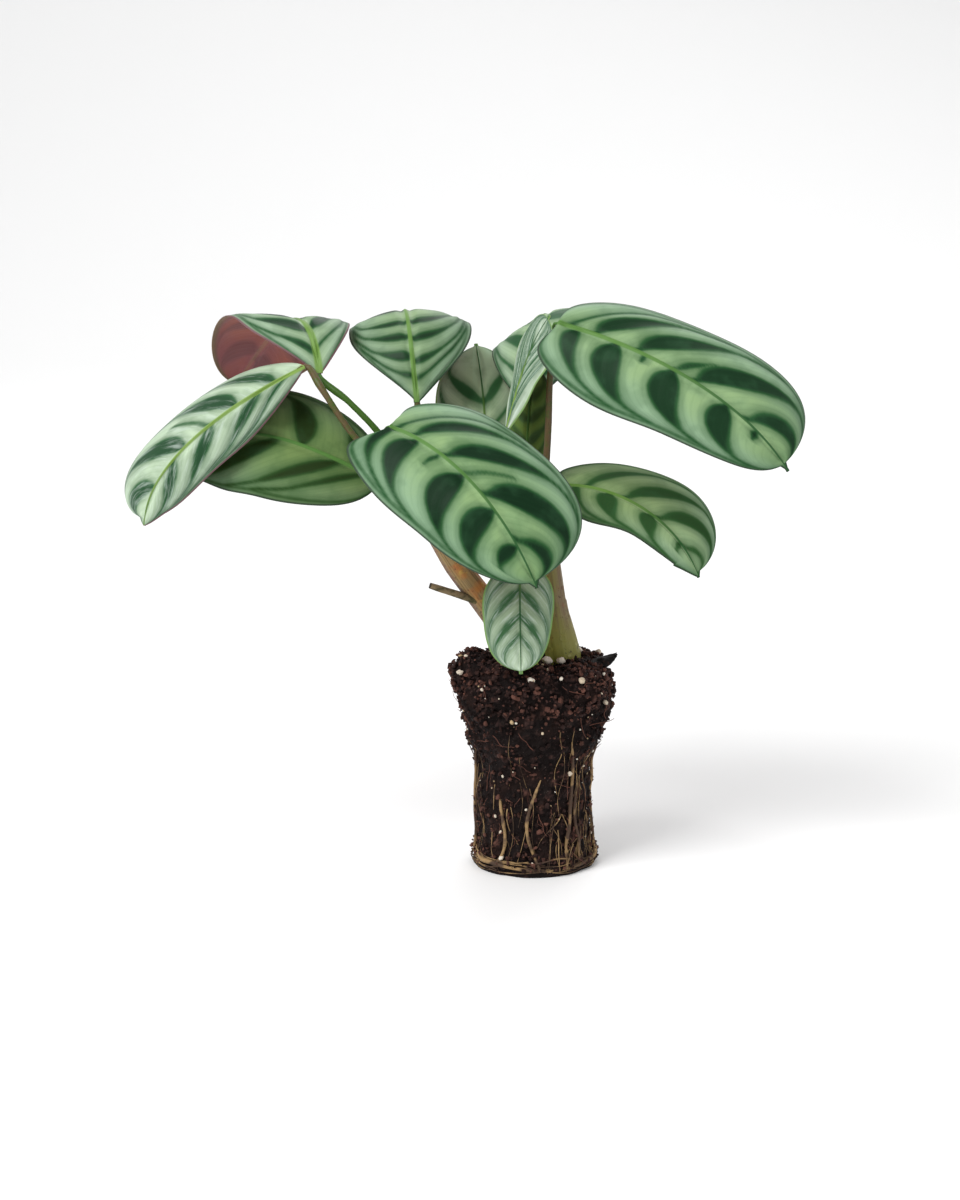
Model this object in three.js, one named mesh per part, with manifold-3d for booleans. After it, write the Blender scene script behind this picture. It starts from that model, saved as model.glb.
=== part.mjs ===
// A young fishbone prayer plant lifted out of its nursery cell: the moulded plug of potting soil with
// the roots that circle it, three shoots with their leaf stalks, and twelve patterned leaf blades.
// Millimetres, +Z up. The origin is the middle of the plug's flat foot, and -Y is the side that shows
// the large front blade.

import * as THREE from 'three';
import { mergeVertices } from 'three/addons/utils/BufferGeometryUtils.js';
import Module from 'manifold-3d';

const wasm = await Module();
wasm.setup();

// driving dimensions

const GAP = 0.3; // clearance between neighbouring pieces

// The plug keeps the shape of a cell of a propagation tray, with a wider crumbly head.
const PLUG_HEIGHT = 50;
const FOOT_RADIUS = 14;
const HEAD_FLARE = 5.4; // how much wider the head is than the foot
const FLARE_FROM = 24;
const FLARE_TO = 46;
const CELL_RIM_HEIGHT = 31; // a low ridge left by a step in the cell's wall
const CELL_RIM = 1.1;
const PLUG_SIDES = 36;
const WALL_HEIGHTS = [0, 2, 5, 9, 13, 17, 21, 25, 28.5, 31, 33.5, 36.5, 40, 43.5, 46.5, 49];
const TOP_RINGS = [0.93, 0.76, 0.55, 0.3]; // share of the head's radius
const HEAD_LUMP = { x: -14.5, y: -3, height: 2.6, spread: 5 };

const GRAIN_COUNT = 34; // perlite and crumbs that stand out of the soil
const GRAIN_RADIUS = [0.8, 1.5];
const BARK_CHIP = { at: [16.6, -3, 50.6], half: [3.8, 2.2, 1.2], turn: [0.1, -0.25, 0.35] };

// Roots run down the plug and join one that circles its foot. Angles in degrees, from +X towards +Y.
const ROOT_RADIUS = 0.6;
const HOOP_ROOT = { height: 2.3, rise: 0.8, radius: 0.75 };
const ROOTS = [
  { angle: -8, top: 31, drift: 5 },
  { angle: -40, top: 22, drift: -6 },
  { angle: -56, top: 33, drift: 4 },
  { angle: -86, top: 24, drift: -9 },
  { angle: -128, top: 19, drift: 8 },
  { angle: -170, top: 29, drift: -6 },
  { angle: 32, top: 27, drift: 7 },
  { angle: 74, top: 34, drift: -5 },
  { angle: 118, top: 23, drift: 9 },
  { angle: 152, top: 30, drift: -7 },
];

const BLADE_THICKNESS = 0.7;
const MIDRIB_RISE = 0.6; // the midrib stands out of the underside
const MIDRIB_SPREAD = 0.14;
const BLADE_ROWS = [0, 0.04, 0.11, 0.22, 0.35, 0.48, 0.61, 0.74, 0.85, 0.94, 1];
const BLADE_COLUMNS = [-1, -0.74, -0.44, -0.14, 0, 0.14, 0.44, 0.74, 1];

// A blade's outline: the body closes just before the drawn-out tip.
const BODY_END = 0.97;
const BASE_FULLNESS = 2.3;
const TIP_FULLNESS = 3;
const TAIL_START = 0.86;
const TAIL_HALF = 1.6;
const STALK_HALF = 0.8;
const TIP_HALF = 0.45;
const LOBE_START = 0.03;

// Every blade: rib is the midrib's cubic curve from base to tip. right is the direction of the blade's
// right half at base and tip. half gives, for the left and the right half, the width's four control
// values from base to tip. arch curls each half down, fold tilts it up, lobe sweeps its base back, and
// wave lifts and lowers its margin.
const BLADES = {
  blade_front: {
    rib: [[-34, -14, 109.5], [-22, -24, 107], [-8, -33, 95.5], [0, -34, 75]],
    right: [[-0.75, -0.5, -0.4], [-0.86, -0.26, -0.3]],
    half: [[27, 19, 20, 28], [19, 20, 16, 12]], arch: [0.6, 0.7], fold: [0, 0], lobe: [9, 14], wave: 0.4,
  },
  blade_left: {
    rib: [[-54.5, 0, 121.5], [-67, -6, 116], [-91, -13, 102.5], [-91.5, -15, 86]],
    right: [[-0.7, 0.4, 0.55], [-0.72, 0.3, 0.55]],
    half: [[3.5, 12, 8, 10], [24, 18, 10, 28]], arch: [0.7, 0.8], fold: [-0.1, -0.4], lobe: [0, 0], wave: 0.4,
  },
  blade_left_back: {
    rib: [[-51, 2, 119.5], [-53, 8, 134], [-58, 26, 138], [-74, 30, 112]],
    right: [[0.95, 0.15, 0.1], [0.68, 0.5, -0.45]],
    half: [[4, 20, 16, 14], [4, 16, 18, 14]], arch: [0.5, 0.5], fold: [0.1, 0.2], lobe: [0, 0], wave: 0.3,
  },
  blade_left_low: {
    rib: [[-36.5, -4, 95], [-53.5, -4, 103], [-72, 0, 113], [-88, 2, 98]],
    right: [[0.08, 0.6, 0.8], [0.08, 0.6, 0.8]],
    half: [[15, 14, 17, 13], [16, 16.5, 14, 14]], arch: [0.5, 0.5], fold: [0, 0], lobe: [0, 0], wave: 0.4,
  },
  blade_mid_back: {
    rib: [[-28, 4, 112.3], [-30, 8, 131], [-31.5, 28, 143], [-33, 44, 118]],
    right: [[0.98, 0, 0.12], [0.98, 0, 0.12]],
    half: [[2, 26, 9, 14], [5, 26, 10, 15]], arch: [0.5, 0.5], fold: [0, -0.1], lobe: [0, 0], wave: 0.3,
  },
  blade_under: {
    rib: [[-11.8, 13, 101], [-11.5, 17, 109], [-13, 24, 118], [-14, 31, 123]],
    right: [[1, 0, 0], [1, 0, 0]],
    half: [[12, 13, 12, 7], [9, 9, 9, 7]], arch: [0.4, 0.4], fold: [0, 0], lobe: [0, 0], wave: 0.2,
  },
  blade_right_back: {
    rib: [[-1, 14, 110.7], [-0.5, 17, 126.2], [3, 31, 141.3], [6, 46, 119.5]],
    right: [[0.9, 0.1, 0.3], [0.9, 0.1, 0.2]],
    half: [[8, 18, 12, 14], [5, 18, 14, 14]], arch: [0.5, 0.5], fold: [-0.25, 0], lobe: [0, 0], wave: 0.3,
  },
  blade_slim: {
    rib: [[-7, 1, 105.5], [-4.5, 1, 116], [-2, 1, 126], [3.3, -1, 133.5]],
    right: [[0.2, -0.95, -0.1], [0.2, -0.95, -0.1]],
    half: [[6, 8, 8, 10], [6, 8, 8, 10]], arch: [0.3, 0.3], fold: [0, 0], lobe: [0, 0], wave: 0.3,
  },
  blade_right: {
    rib: [[5.1, -8, 132.8], [22, -14, 129], [47, -22, 118], [58, -22, 100]],
    right: [[-0.52, -0.53, -0.62], [-0.6, -0.4, -0.62]],
    half: [[18, 17, 14, 29], [18, 20, 10, 13]], arch: [0.7, 0.7], fold: [0, 0], lobe: [3, 8], wave: 0.4,
  },
  blade_young: {
    rib: [[-2, 7, 94], [-2, 8, 102], [-1.5, 9, 112], [0, 10, 120.5]],
    right: [[0.85, -0.45, 0], [0.85, -0.45, 0]],
    half: [[5, 6, 6, 5], [5, 6, 6, 5]], arch: [0.4, 0.4], fold: [0, 0], lobe: [0, 0], wave: 0.1,
  },
  blade_right_low: {
    rib: [[7, 2, 93], [20, -2, 93.5], [34, -6, 86], [39, -7, 72]],
    right: [[-0.42, -0.77, -0.4], [-0.6, -0.6, -0.4]],
    half: [[20, 17, 22, 20], [15, 8, 6, 6]], arch: [0.6, 0.6], fold: [0, 0], lobe: [8, 0], wave: 0.3,
  },
  blade_small: {
    rib: [[-3.7, -15, 77], [-3.7, -19, 70], [-3.6, -21, 60], [-3.4, -20, 51.5]],
    right: [[-1, 0, 0], [-1, 0, 0]],
    half: [[10.5, 8.5, 7, 7], [10.5, 9.5, 8, 9]], arch: [0.5, 0.5], fold: [0, 0], lobe: [0, 0], wave: 0.2,
  },
};

// A shoot is the rolled sheath of its leaf stalks, with the stalks fanning out of it. Each stalk ends
// just short of the blade that it carries.
const STALK_RADIUS = 0.85;
const STALK_END_RADIUS = 0.5;
const STALK_SETBACK = 0.8; // from the blade's base to the stalk's end, along the midrib
const SHOOTS = {
  shoot_left: {
    sheath: [[-0.5, 1.5, 38], [-1.6, 0.8, 50], [-9.8, -1, 62], [-19.8, -3, 76], [-26, -4, 86]],
    radii: [2.6, 3.2, 3, 2.7, 1.7],
    color: 0x8f7731,
    stalks: {
      blade_left: [[-18, -3, 75], [-27, -5, 87], [-36, -8, 98], [-44, -6, 107.5], [-50.5, -3.5, 117]],
      blade_left_back: [[-18, -2.5, 75], [-26, -2, 87], [-35, -3, 103.5], [-44, -0.5, 113]],
      blade_left_low: [[-20, -3, 78], [-27, -4, 87.5], [-31.5, -4, 91.5]],
      blade_mid_back: [[-18, -2, 75], [-24.5, -2, 86], [-27, 1.5, 100]],
      blade_front: [[-19, -3, 76], [-27, -5, 89], [-32.5, -6.5, 99], [-35.5, -10, 105.5]],
    },
    cutStub: [[-10.5, -2, 64], [-16.5, -4, 66.2], [-25, -5, 68.4]],
  },
  shoot_right: {
    sheath: [[7.6, 1, 38], [7.2, 1, 50], [5, 1.2, 62], [3.7, 1.8, 72], [2, 3, 88]],
    radii: [3.2, 4, 3.1, 2.7, 1.7],
    color: 0x6f6a3c,
    stalks: {
      blade_right: [[3, 2.4, 78], [2.6, 1.4, 92], [3.2, 0, 107], [3.6, -1, 120], [4.6, -3.8, 127.8]],
      blade_right_low: [[3.6, 2, 74], [4.4, 2, 86], [5, 2.4, 91]],
      blade_right_back: [[3, 2.6, 80], [3.8, 8, 92], [1, 13.5, 103]],
      blade_slim: [[3, 2.4, 80], [-1, 1.6, 90], [-6, 1, 98]],
      blade_young: [[3, 2.6, 78], [0.6, 5, 86], [-1.5, 6.6, 90.5]],
      blade_under: [[3, 2.8, 76], [-4, 8, 86], [-10.8, 11.5, 94]],
    },
  },
  shoot_small: {
    sheath: [[-0.5, -6.8, 38], [-0.7, -6.8, 50], [-1.8, -7.4, 62]],
    radii: [1.3, 1.7, 1.1],
    color: 0x9aa24a,
    stalks: {
      blade_small: [[-1.2, -7.2, 56], [-2.6, -8, 70], [-3.4, -10.5, 78.6]],
    },
  },
};

// solids

function toSolid(geometry) {
  const bare = geometry.clone();
  bare.deleteAttribute('normal');
  bare.deleteAttribute('uv');
  const merged = mergeVertices(bare, 1e-5);
  return new wasm.Manifold(new wasm.Mesh({
    numProp: 3,
    vertProperties: new Float32Array(merged.attributes.position.array),
    triVerts: new Uint32Array(merged.index.array),
  }));
}

function toGeometry(solid) {
  const mesh = solid.getMesh();
  const geometry = new THREE.BufferGeometry();
  geometry.setAttribute('position', new THREE.BufferAttribute(mesh.vertProperties, 3));
  geometry.setIndex(new THREE.BufferAttribute(mesh.triVerts, 1));
  geometry.computeVertexNormals();
  return geometry;
}

// A cut can leave crumbs loose: only the largest body stays.
function largestBody(solid) {
  const bodies = solid.decompose();
  return bodies.reduce((best, body) => (body.volume() > best.volume() ? body : best));
}

function indexedGeometry(points, triangles) {
  const geometry = new THREE.BufferGeometry();
  geometry.setAttribute('position', new THREE.Float32BufferAttribute(points.flatMap((p) => p.toArray()), 3));
  geometry.setIndex(triangles.flat());
  geometry.computeVertexNormals();
  return geometry;
}

const vector = (p) => new THREE.Vector3(...p);

// Joins rings of equal size into a tube's side faces. closed joins the last ring to the first.
function ringTriangles(ringCount, sides, closed) {
  const triangles = [];
  const spans = closed ? ringCount : ringCount - 1;
  for (let ring = 0; ring < spans; ring += 1) {
    for (let side = 0; side < sides; side += 1) {
      const a = ring * sides + side;
      const b = ring * sides + (side + 1) % sides;
      const c = ((ring + 1) % ringCount) * sides + (side + 1) % sides;
      const d = ((ring + 1) % ringCount) * sides + side;
      triangles.push([a, b, c], [a, c, d]);
    }
  }
  return triangles;
}

// A round rod along a smooth curve through the points, with its radii spread evenly along it.
function rod(points, radii, sides, steps, grow = 0) {
  const curve = new THREE.CatmullRomCurve3(points.map(vector));
  const frames = curve.computeFrenetFrames(steps, false);
  const vertices = [];
  for (let step = 0; step <= steps; step += 1) {
    const centre = curve.getPointAt(step / steps);
    const along = (step / steps) * (radii.length - 1);
    const from = Math.min(Math.floor(along), radii.length - 2);
    const radius = THREE.MathUtils.lerp(radii[from], radii[from + 1], along - from) + grow;
    if (step === 0) centre.addScaledVector(frames.tangents[0], -grow);
    if (step === steps) centre.addScaledVector(frames.tangents[steps], grow);
    for (let side = 0; side < sides; side += 1) {
      const angle = (side / sides) * 2 * Math.PI;
      vertices.push(centre.clone()
        .addScaledVector(frames.normals[step], radius * Math.cos(angle))
        .addScaledVector(frames.binormals[step], radius * Math.sin(angle)));
    }
  }
  const triangles = ringTriangles(steps + 1, sides, false);
  const last = steps * sides;
  for (let side = 1; side < sides - 1; side += 1) {
    triangles.push([0, side + 1, side], [last, last + side, last + side + 1]);
  }
  return toSolid(indexedGeometry(vertices, triangles));
}

// soil plug

const smoothstep = (from, to, value) => THREE.MathUtils.smoothstep(value, from, to);
const bump = (distance, spread) => Math.exp(-((distance / spread) ** 2));

function plugRadius(angle, z) {
  const shape = FOOT_RADIUS + bump(z - 2, 3) + HEAD_FLARE * smoothstep(FLARE_FROM, FLARE_TO, z)
    + CELL_RIM * bump(z - CELL_RIM_HEIGHT, 2.5) - 1.2 * bump(z - PLUG_HEIGHT - 0.5, 2);
  const lumps = 0.55 * Math.sin(3 * angle + 0.21 * z + 0.6) + 0.45 * Math.sin(5 * angle - 0.33 * z + 2.1)
    + 0.35 * Math.sin(9 * angle + 0.5 * z + 4) + 0.3 * Math.sin(14 * angle - 0.9 * z + 1.3);
  return shape + lumps * (0.45 + 0.95 * smoothstep(FLARE_FROM, FLARE_TO, z)) * smoothstep(-6, 4, z);
}

function topHeight(x, y) {
  const lump = HEAD_LUMP.height * bump(Math.hypot(x - HEAD_LUMP.x, y - HEAD_LUMP.y), HEAD_LUMP.spread);
  const mound = 1.2 * bump(Math.hypot(x, y) - 13, 5);
  return PLUG_HEIGHT + lump + mound + 0.45 * Math.sin(0.7 * x + 1) + 0.4 * Math.sin(0.9 * y + 0.4 * x + 2);
}

function plugShell() {
  const vertices = [];
  const ringPoint = (side) => (side / PLUG_SIDES) * 2 * Math.PI;
  for (const z of WALL_HEIGHTS) {
    for (let side = 0; side < PLUG_SIDES; side += 1) {
      const angle = ringPoint(side);
      const radius = plugRadius(angle, z);
      vertices.push(new THREE.Vector3(radius * Math.cos(angle), radius * Math.sin(angle), z));
    }
  }
  const rim = WALL_HEIGHTS[WALL_HEIGHTS.length - 1];
  for (const share of TOP_RINGS) {
    for (let side = 0; side < PLUG_SIDES; side += 1) {
      const angle = ringPoint(side);
      const radius = plugRadius(angle, rim) * share;
      const [x, y] = [radius * Math.cos(angle), radius * Math.sin(angle)];
      vertices.push(new THREE.Vector3(x, y, topHeight(x, y)));
    }
  }
  const rings = WALL_HEIGHTS.length + TOP_RINGS.length;
  const triangles = ringTriangles(rings, PLUG_SIDES, false);
  const foot = vertices.push(new THREE.Vector3(0, 0, 0)) - 1;
  const crown = vertices.push(new THREE.Vector3(0, 0, topHeight(0, 0))) - 1;
  const last = (rings - 1) * PLUG_SIDES;
  for (let side = 0; side < PLUG_SIDES; side += 1) {
    const next = (side + 1) % PLUG_SIDES;
    triangles.push([foot, next, side], [crown, last + side, last + next]);
  }
  return toSolid(indexedGeometry(vertices, triangles));
}

// Perlite and crumbs sit half sunk on the wall and the top, spread by the golden angle.
function grains() {
  const golden = Math.PI * (3 - Math.sqrt(5));
  const solids = [];
  for (let k = 0; k < GRAIN_COUNT; k += 1) {
    const angle = k * golden;
    const draw = (k * 0.618034) % 1;
    const radius = THREE.MathUtils.lerp(...GRAIN_RADIUS, draw);
    const grain = new THREE.IcosahedronGeometry(radius, 0);
    grain.rotateX(k);
    grain.rotateZ(2 * k);
    if (k % 4 === 0) {
      const reach = plugRadius(angle, PLUG_HEIGHT - 1) * (0.5 + 0.4 * draw);
      const [x, y] = [reach * Math.cos(angle), reach * Math.sin(angle)];
      grain.translate(x, y, topHeight(x, y) + 0.1 * radius);
    } else {
      const z = 7 + 41 * ((k + 0.5) / GRAIN_COUNT);
      const reach = plugRadius(angle, z) - 0.1 * radius;
      grain.translate(reach * Math.cos(angle), reach * Math.sin(angle), z);
    }
    solids.push(toSolid(grain));
  }
  return solids;
}

function barkChip() {
  const chip = new THREE.IcosahedronGeometry(1, 0);
  chip.scale(...BARK_CHIP.half);
  chip.rotateX(BARK_CHIP.turn[0]);
  chip.rotateY(BARK_CHIP.turn[1]);
  chip.rotateZ(BARK_CHIP.turn[2]);
  chip.translate(...BARK_CHIP.at);
  return toSolid(chip);
}

// roots

const hoopHeight = (angle) => HOOP_ROOT.height + HOOP_ROOT.rise * Math.sin(2 * angle + 0.8);

function hoopRoot(grow) {
  const [steps, sides] = [28, 6];
  const vertices = [];
  for (let step = 0; step < steps; step += 1) {
    const angle = (step / steps) * 2 * Math.PI;
    const out = new THREE.Vector3(Math.cos(angle), Math.sin(angle), 0);
    const centre = out.clone().multiplyScalar(plugRadius(angle, hoopHeight(angle)));
    centre.z = hoopHeight(angle);
    for (let side = 0; side < sides; side += 1) {
      const turn = (side / sides) * 2 * Math.PI;
      const radius = HOOP_ROOT.radius + grow;
      const point = centre.clone().addScaledVector(out, radius * Math.sin(turn));
      point.z += radius * Math.cos(turn);
      vertices.push(point);
    }
  }
  return toSolid(indexedGeometry(vertices, ringTriangles(steps, sides, true)));
}

function runningRoot({ angle, top, drift }, grow) {
  const count = 7;
  const points = [];
  for (let k = 0; k < count; k += 1) {
    const share = k / (count - 1);
    const swing = drift * Math.sin(Math.PI * share) + 2.5 * Math.sin(5 * share + angle);
    const turn = THREE.MathUtils.degToRad(angle + swing);
    const z = THREE.MathUtils.lerp(top, hoopHeight(turn), share);
    const sunk = k === 0 ? 0.7 : 0;
    const reach = plugRadius(turn, z) - sunk;
    points.push([reach * Math.cos(turn), reach * Math.sin(turn), z]);
  }
  return rod(points, [0.6 * ROOT_RADIUS, ROOT_RADIUS, ROOT_RADIUS], 5, 8, grow);
}

function rootNet(grow) {
  return ROOTS.reduce((net, root) => net.add(runningRoot(root, grow)), hoopRoot(grow));
}

// blades

function bezier([a, b, c, d], t) {
  const s = 1 - t;
  return s * s * s * a + 3 * s * s * t * b + 3 * s * t * t * c + t * t * t * d;
}

function halfWidth(u, halves) {
  const e = 2 * Math.min(u / BODY_END, 1) - 1;
  const body = Math.sqrt(Math.max(1 - Math.abs(e) ** (e > 0 ? TIP_FULLNESS : BASE_FULLNESS), 0)) * bezier(halves, u);
  const tail = u > TAIL_START ? TAIL_HALF * Math.max((1 - u) / (1 - TAIL_START), 0) ** 0.8 : 0;
  return Math.max(body, tail, STALK_HALF * (1 - u), TIP_HALF);
}

const lobeBack = (u) => (1 - Math.exp(-u / LOBE_START)) * (1 - u) ** 4;

function ribCurve(leaf) {
  return new THREE.CubicBezierCurve3(...leaf.rib.map(vector));
}

// The blade's own directions at u: along the midrib, to its right half, and out of its upper face.
function bladeFrame(leaf, curve, u) {
  const along = curve.getTangentAt(u).normalize();
  const right = vector(leaf.right[0]).lerp(vector(leaf.right[1]), u);
  right.addScaledVector(along, -right.dot(along)).normalize();
  const up = new THREE.Vector3().crossVectors(right, along);
  return { along, right, up };
}

// A point of the upper face and the face's direction there; v runs from -1 at the left margin to 1.
function bladePoint(leaf, curve, u, v) {
  const { along, right, up } = bladeFrame(leaf, curve, u);
  const part = v > 0 ? 1 : 0;
  const side = Math.sign(v);
  const reach = Math.abs(v);
  const half = halfWidth(u, leaf.half[part]);
  const arch = leaf.arch[part];
  const fold = leaf.fold[part];
  const flatX = Math.sin(arch * reach) / arch;
  const flatN = -(1 - Math.cos(arch * reach)) / arch;
  const x = flatX * Math.cos(fold) - flatN * Math.sin(fold);
  const n = flatX * Math.sin(fold) + flatN * Math.cos(fold);
  const wave = leaf.wave * reach ** 2 * Math.sin(4 * Math.PI * u + 2 * part) * Math.sin(Math.PI * u);
  const back = leaf.lobe[part] * reach ** 1.5 * lobeBack(u);
  const point = curve.getPointAt(u)
    .addScaledVector(right, side * half * x)
    .addScaledVector(up, half * n + wave)
    .addScaledVector(along, -back);
  const tilt = reach > 0 ? fold - arch * reach : 0;
  const face = up.clone().multiplyScalar(Math.cos(tilt)).addScaledVector(right, -side * Math.sin(tilt));
  return { point, face };
}

function blade(leaf) {
  const curve = ribCurve(leaf);
  const upper = [];
  const lower = [];
  for (const u of BLADE_ROWS) {
    for (const v of BLADE_COLUMNS) {
      const { point, face } = bladePoint(leaf, curve, u, v);
      const thickness = BLADE_THICKNESS + MIDRIB_RISE * bump(v, MIDRIB_SPREAD) * (1 - 0.7 * u);
      upper.push(point);
      lower.push(point.clone().addScaledVector(face, -thickness));
    }
  }
  const rows = BLADE_ROWS.length;
  const columns = BLADE_COLUMNS.length;
  const under = upper.length;
  const at = (row, column) => row * columns + column;
  const triangles = [];
  for (let row = 0; row < rows - 1; row += 1) {
    for (let column = 0; column < columns - 1; column += 1) {
      const [a, b] = [at(row, column), at(row, column + 1)];
      const [c, d] = [at(row + 1, column + 1), at(row + 1, column)];
      triangles.push([a, b, c], [a, c, d], [under + a, under + c, under + b], [under + a, under + d, under + c]);
    }
  }
  const edge = [];
  for (let column = 0; column < columns - 1; column += 1) edge.push(at(0, column));
  for (let row = 0; row < rows - 1; row += 1) edge.push(at(row, columns - 1));
  for (let column = columns - 1; column > 0; column -= 1) edge.push(at(rows - 1, column));
  for (let row = rows - 1; row > 0; row -= 1) edge.push(at(row, 0));
  edge.forEach((p, k) => {
    const q = edge[(k + 1) % edge.length];
    triangles.push([p, under + p, under + q], [p, under + q, q]);
  });
  return indexedGeometry([...upper, ...lower], triangles);
}

// shoots

// Where a stalk ends: just before the blade's base, at the middle of its thickness.
function stalkEnd(leaf) {
  const curve = ribCurve(leaf);
  const { along, up } = bladeFrame(leaf, curve, 0);
  return curve.getPointAt(0).addScaledVector(along, -STALK_SETBACK).addScaledVector(up, -0.5 * BLADE_THICKNESS);
}

function sheath(shoot, grow) {
  return rod(shoot.sheath, shoot.radii, 10, 9, grow);
}

function shootSolid(shoot) {
  let solid = sheath(shoot, 0);
  for (const [name, points] of Object.entries(shoot.stalks)) {
    const route = [...points, stalkEnd(BLADES[name]).toArray()];
    solid = solid.add(rod(route, [STALK_RADIUS, STALK_RADIUS, STALK_RADIUS, STALK_END_RADIUS], 6, 9));
  }
  if (shoot.cutStub) solid = solid.add(rod(shoot.cutStub, [1, 1, 0.9], 6, 4));
  return solid;
}

// the plant

function soilPlug() {
  let soil = plugShell();
  for (const grain of grains()) soil = soil.add(grain);
  soil = soil.add(barkChip());
  for (const shoot of Object.values(SHOOTS)) soil = soil.subtract(sheath(shoot, GAP));
  return largestBody(soil.subtract(rootNet(GAP)));
}

function addMesh(group, name, geometry, color, roughness) {
  const material = new THREE.MeshStandardMaterial({ color, roughness, metalness: 0 });
  const mesh = new THREE.Mesh(geometry, material);
  mesh.name = name;
  group.add(mesh);
}

const plant = new THREE.Group();
addMesh(plant, 'soil_plug', toGeometry(soilPlug()), 0x2a1c15, 0.95);
addMesh(plant, 'root_net', toGeometry(largestBody(rootNet(0))), 0xb59a6d, 0.8);
for (const [name, shoot] of Object.entries(SHOOTS)) {
  addMesh(plant, name, toGeometry(largestBody(shootSolid(shoot))), shoot.color, 0.55);
}
for (const [name, leaf] of Object.entries(BLADES)) {
  addMesh(plant, name, blade(leaf), name === 'blade_young' ? 0x3d4a20 : 0x6f9a5a, 0.45);
}

export default plant;
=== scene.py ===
"""Looks of a young fishbone prayer plant that stands on its bare plug of soil and roots.

The leaf blades, shoots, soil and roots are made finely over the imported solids, from the same named
sizes. Tables of shape are in millimetres; every mesh is in metres, in the frame of the solids.
"""

import math

import bpy
import numpy as np
from bpy.props import FloatProperty, FloatVectorProperty, IntProperty, PointerProperty
from mathutils import Matrix, Vector, noise


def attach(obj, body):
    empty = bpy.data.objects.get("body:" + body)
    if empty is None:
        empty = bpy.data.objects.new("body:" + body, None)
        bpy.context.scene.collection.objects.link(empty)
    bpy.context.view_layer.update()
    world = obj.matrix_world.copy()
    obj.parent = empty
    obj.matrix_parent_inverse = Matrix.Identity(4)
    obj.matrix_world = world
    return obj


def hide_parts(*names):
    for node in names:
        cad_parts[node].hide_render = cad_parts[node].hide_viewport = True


bl_info = {
    "name": "Fishbone prayer plant",
    "version": (1, 0, 0),
    "blender": (4, 5, 0),
    "location": "View3D > Sidebar > Plant",
    "description": "Builds the leaves, shoots, soil and roots of a young prayer plant",
    "category": "Add Mesh",
}

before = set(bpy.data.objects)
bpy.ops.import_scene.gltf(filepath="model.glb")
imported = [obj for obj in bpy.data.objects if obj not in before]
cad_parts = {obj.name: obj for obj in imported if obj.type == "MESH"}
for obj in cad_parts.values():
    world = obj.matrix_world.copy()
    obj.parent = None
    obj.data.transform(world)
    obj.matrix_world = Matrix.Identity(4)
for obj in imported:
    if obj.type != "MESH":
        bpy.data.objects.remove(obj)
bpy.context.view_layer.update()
BODY = "root"
MM = 0.001
ROOT_SEED = 7
FIBRE_SEED = 31

# shape tables, as in the solids

PLUG_HEIGHT = 50
FOOT_RADIUS = 14
HEAD_FLARE = 5.4
FLARE_FROM = 24
FLARE_TO = 46
CELL_RIM_HEIGHT = 31
CELL_RIM = 1.1
WALL_TOP = 49
HEAD_LUMP = {"x": -14.5, "y": -3, "height": 2.6, "spread": 5}
BARK_CHIP = {"at": (16.6, -3, 50.6), "half": (3.8, 2.2, 1.2), "turn": (0.1, -0.25, 0.35)}

# The largest perlite grains: place and radius.
BIG_PERLITE = (
    (3.1, -4.5, 51.2, 1.1), (6.4, -4.6, 51.2, 0.9), (-8.4, -8, 51, 0.9), (-1, -17.6, 49.4, 0.8),
    (-17.8, -8.5, 49.2, 0.7), (1, 9, 51.3, 1), (11, 6, 51.3, 0.8), (-10, 13, 50.3, 0.9),
)

ROOT_RADIUS = 0.6
HOOP_ROOT = {"height": 2.3, "rise": 0.8, "radius": 0.75}
ROOTS = [
    {"angle": -8, "top": 31, "drift": 5},
    {"angle": -40, "top": 22, "drift": -6},
    {"angle": -56, "top": 33, "drift": 4},
    {"angle": -86, "top": 24, "drift": -9},
    {"angle": -128, "top": 19, "drift": 8},
    {"angle": -170, "top": 29, "drift": -6},
    {"angle": 32, "top": 27, "drift": 7},
    {"angle": 74, "top": 34, "drift": -5},
    {"angle": 118, "top": 23, "drift": 9},
    {"angle": 152, "top": 30, "drift": -7},
]

MIDRIB_RISE = 0.6
MIDRIB_SPREAD = 0.14
BODY_END = 0.97
BASE_FULLNESS = 2.3
TIP_FULLNESS = 3
TAIL_START = 0.86
STALK_HALF = 0.8
TIP_HALF = 0.45
LOBE_START = 0.03
SOLID_THICKNESS = 0.7
STALK_SETBACK = 0.8
STALK_DROP = 1.3

# What every blade has unless its own entry says otherwise. The pairs are for its left and right half.
USUAL_BLADE = {
    "arch": (0.5, 0.5),  # how far each half bends down from the midrib to the margin, in radians
    "fold": (0, 0),  # how far each half is turned up about the midrib, in radians
    "lobe": (0, 0),  # how far the base reaches back past the stalk, in millimetres
    "wave": 0.3,  # height of the waves along the margin, in millimetres
    "tail": (1.6, 0.8),  # half width and fullness of the pointed tip
    "step": 0.4,  # distance between the rows of the mesh, in millimetres
    "sweep": (0.13, 0.13),  # how far forward the side veins lean, at the middle of the blade
    "growth": (0, 0),  # how much that lean grows from the blade's base to its tip
    "curl": (0.1, 0.1),  # how far forward the side veins bend on their outer part
    "rise": (0.9, 0.9),  # how slowly the bands widen from the midrib
    "fall": (1.6, 1.6),  # how fast the bands narrow towards the margin
    "midrib": 1,  # width of the midrib
    "rim": 1,  # width of the dark line beside the margin
    "pale_rib": 0.85,  # share of the midrib's length where it has turned dark
    "margin": "margin",  # colour of the margin
    "olive": 0,  # how far the green turns to olive
    "dark": 1,  # how dark the bands are
    # painted shade: darkens the whole face of a blade that lies in the shade of others
    "painted_shade": 0,  # how far the whole face is darkened
    "gloss": 0.12,  # how strongly the face mirrors light
}

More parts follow.
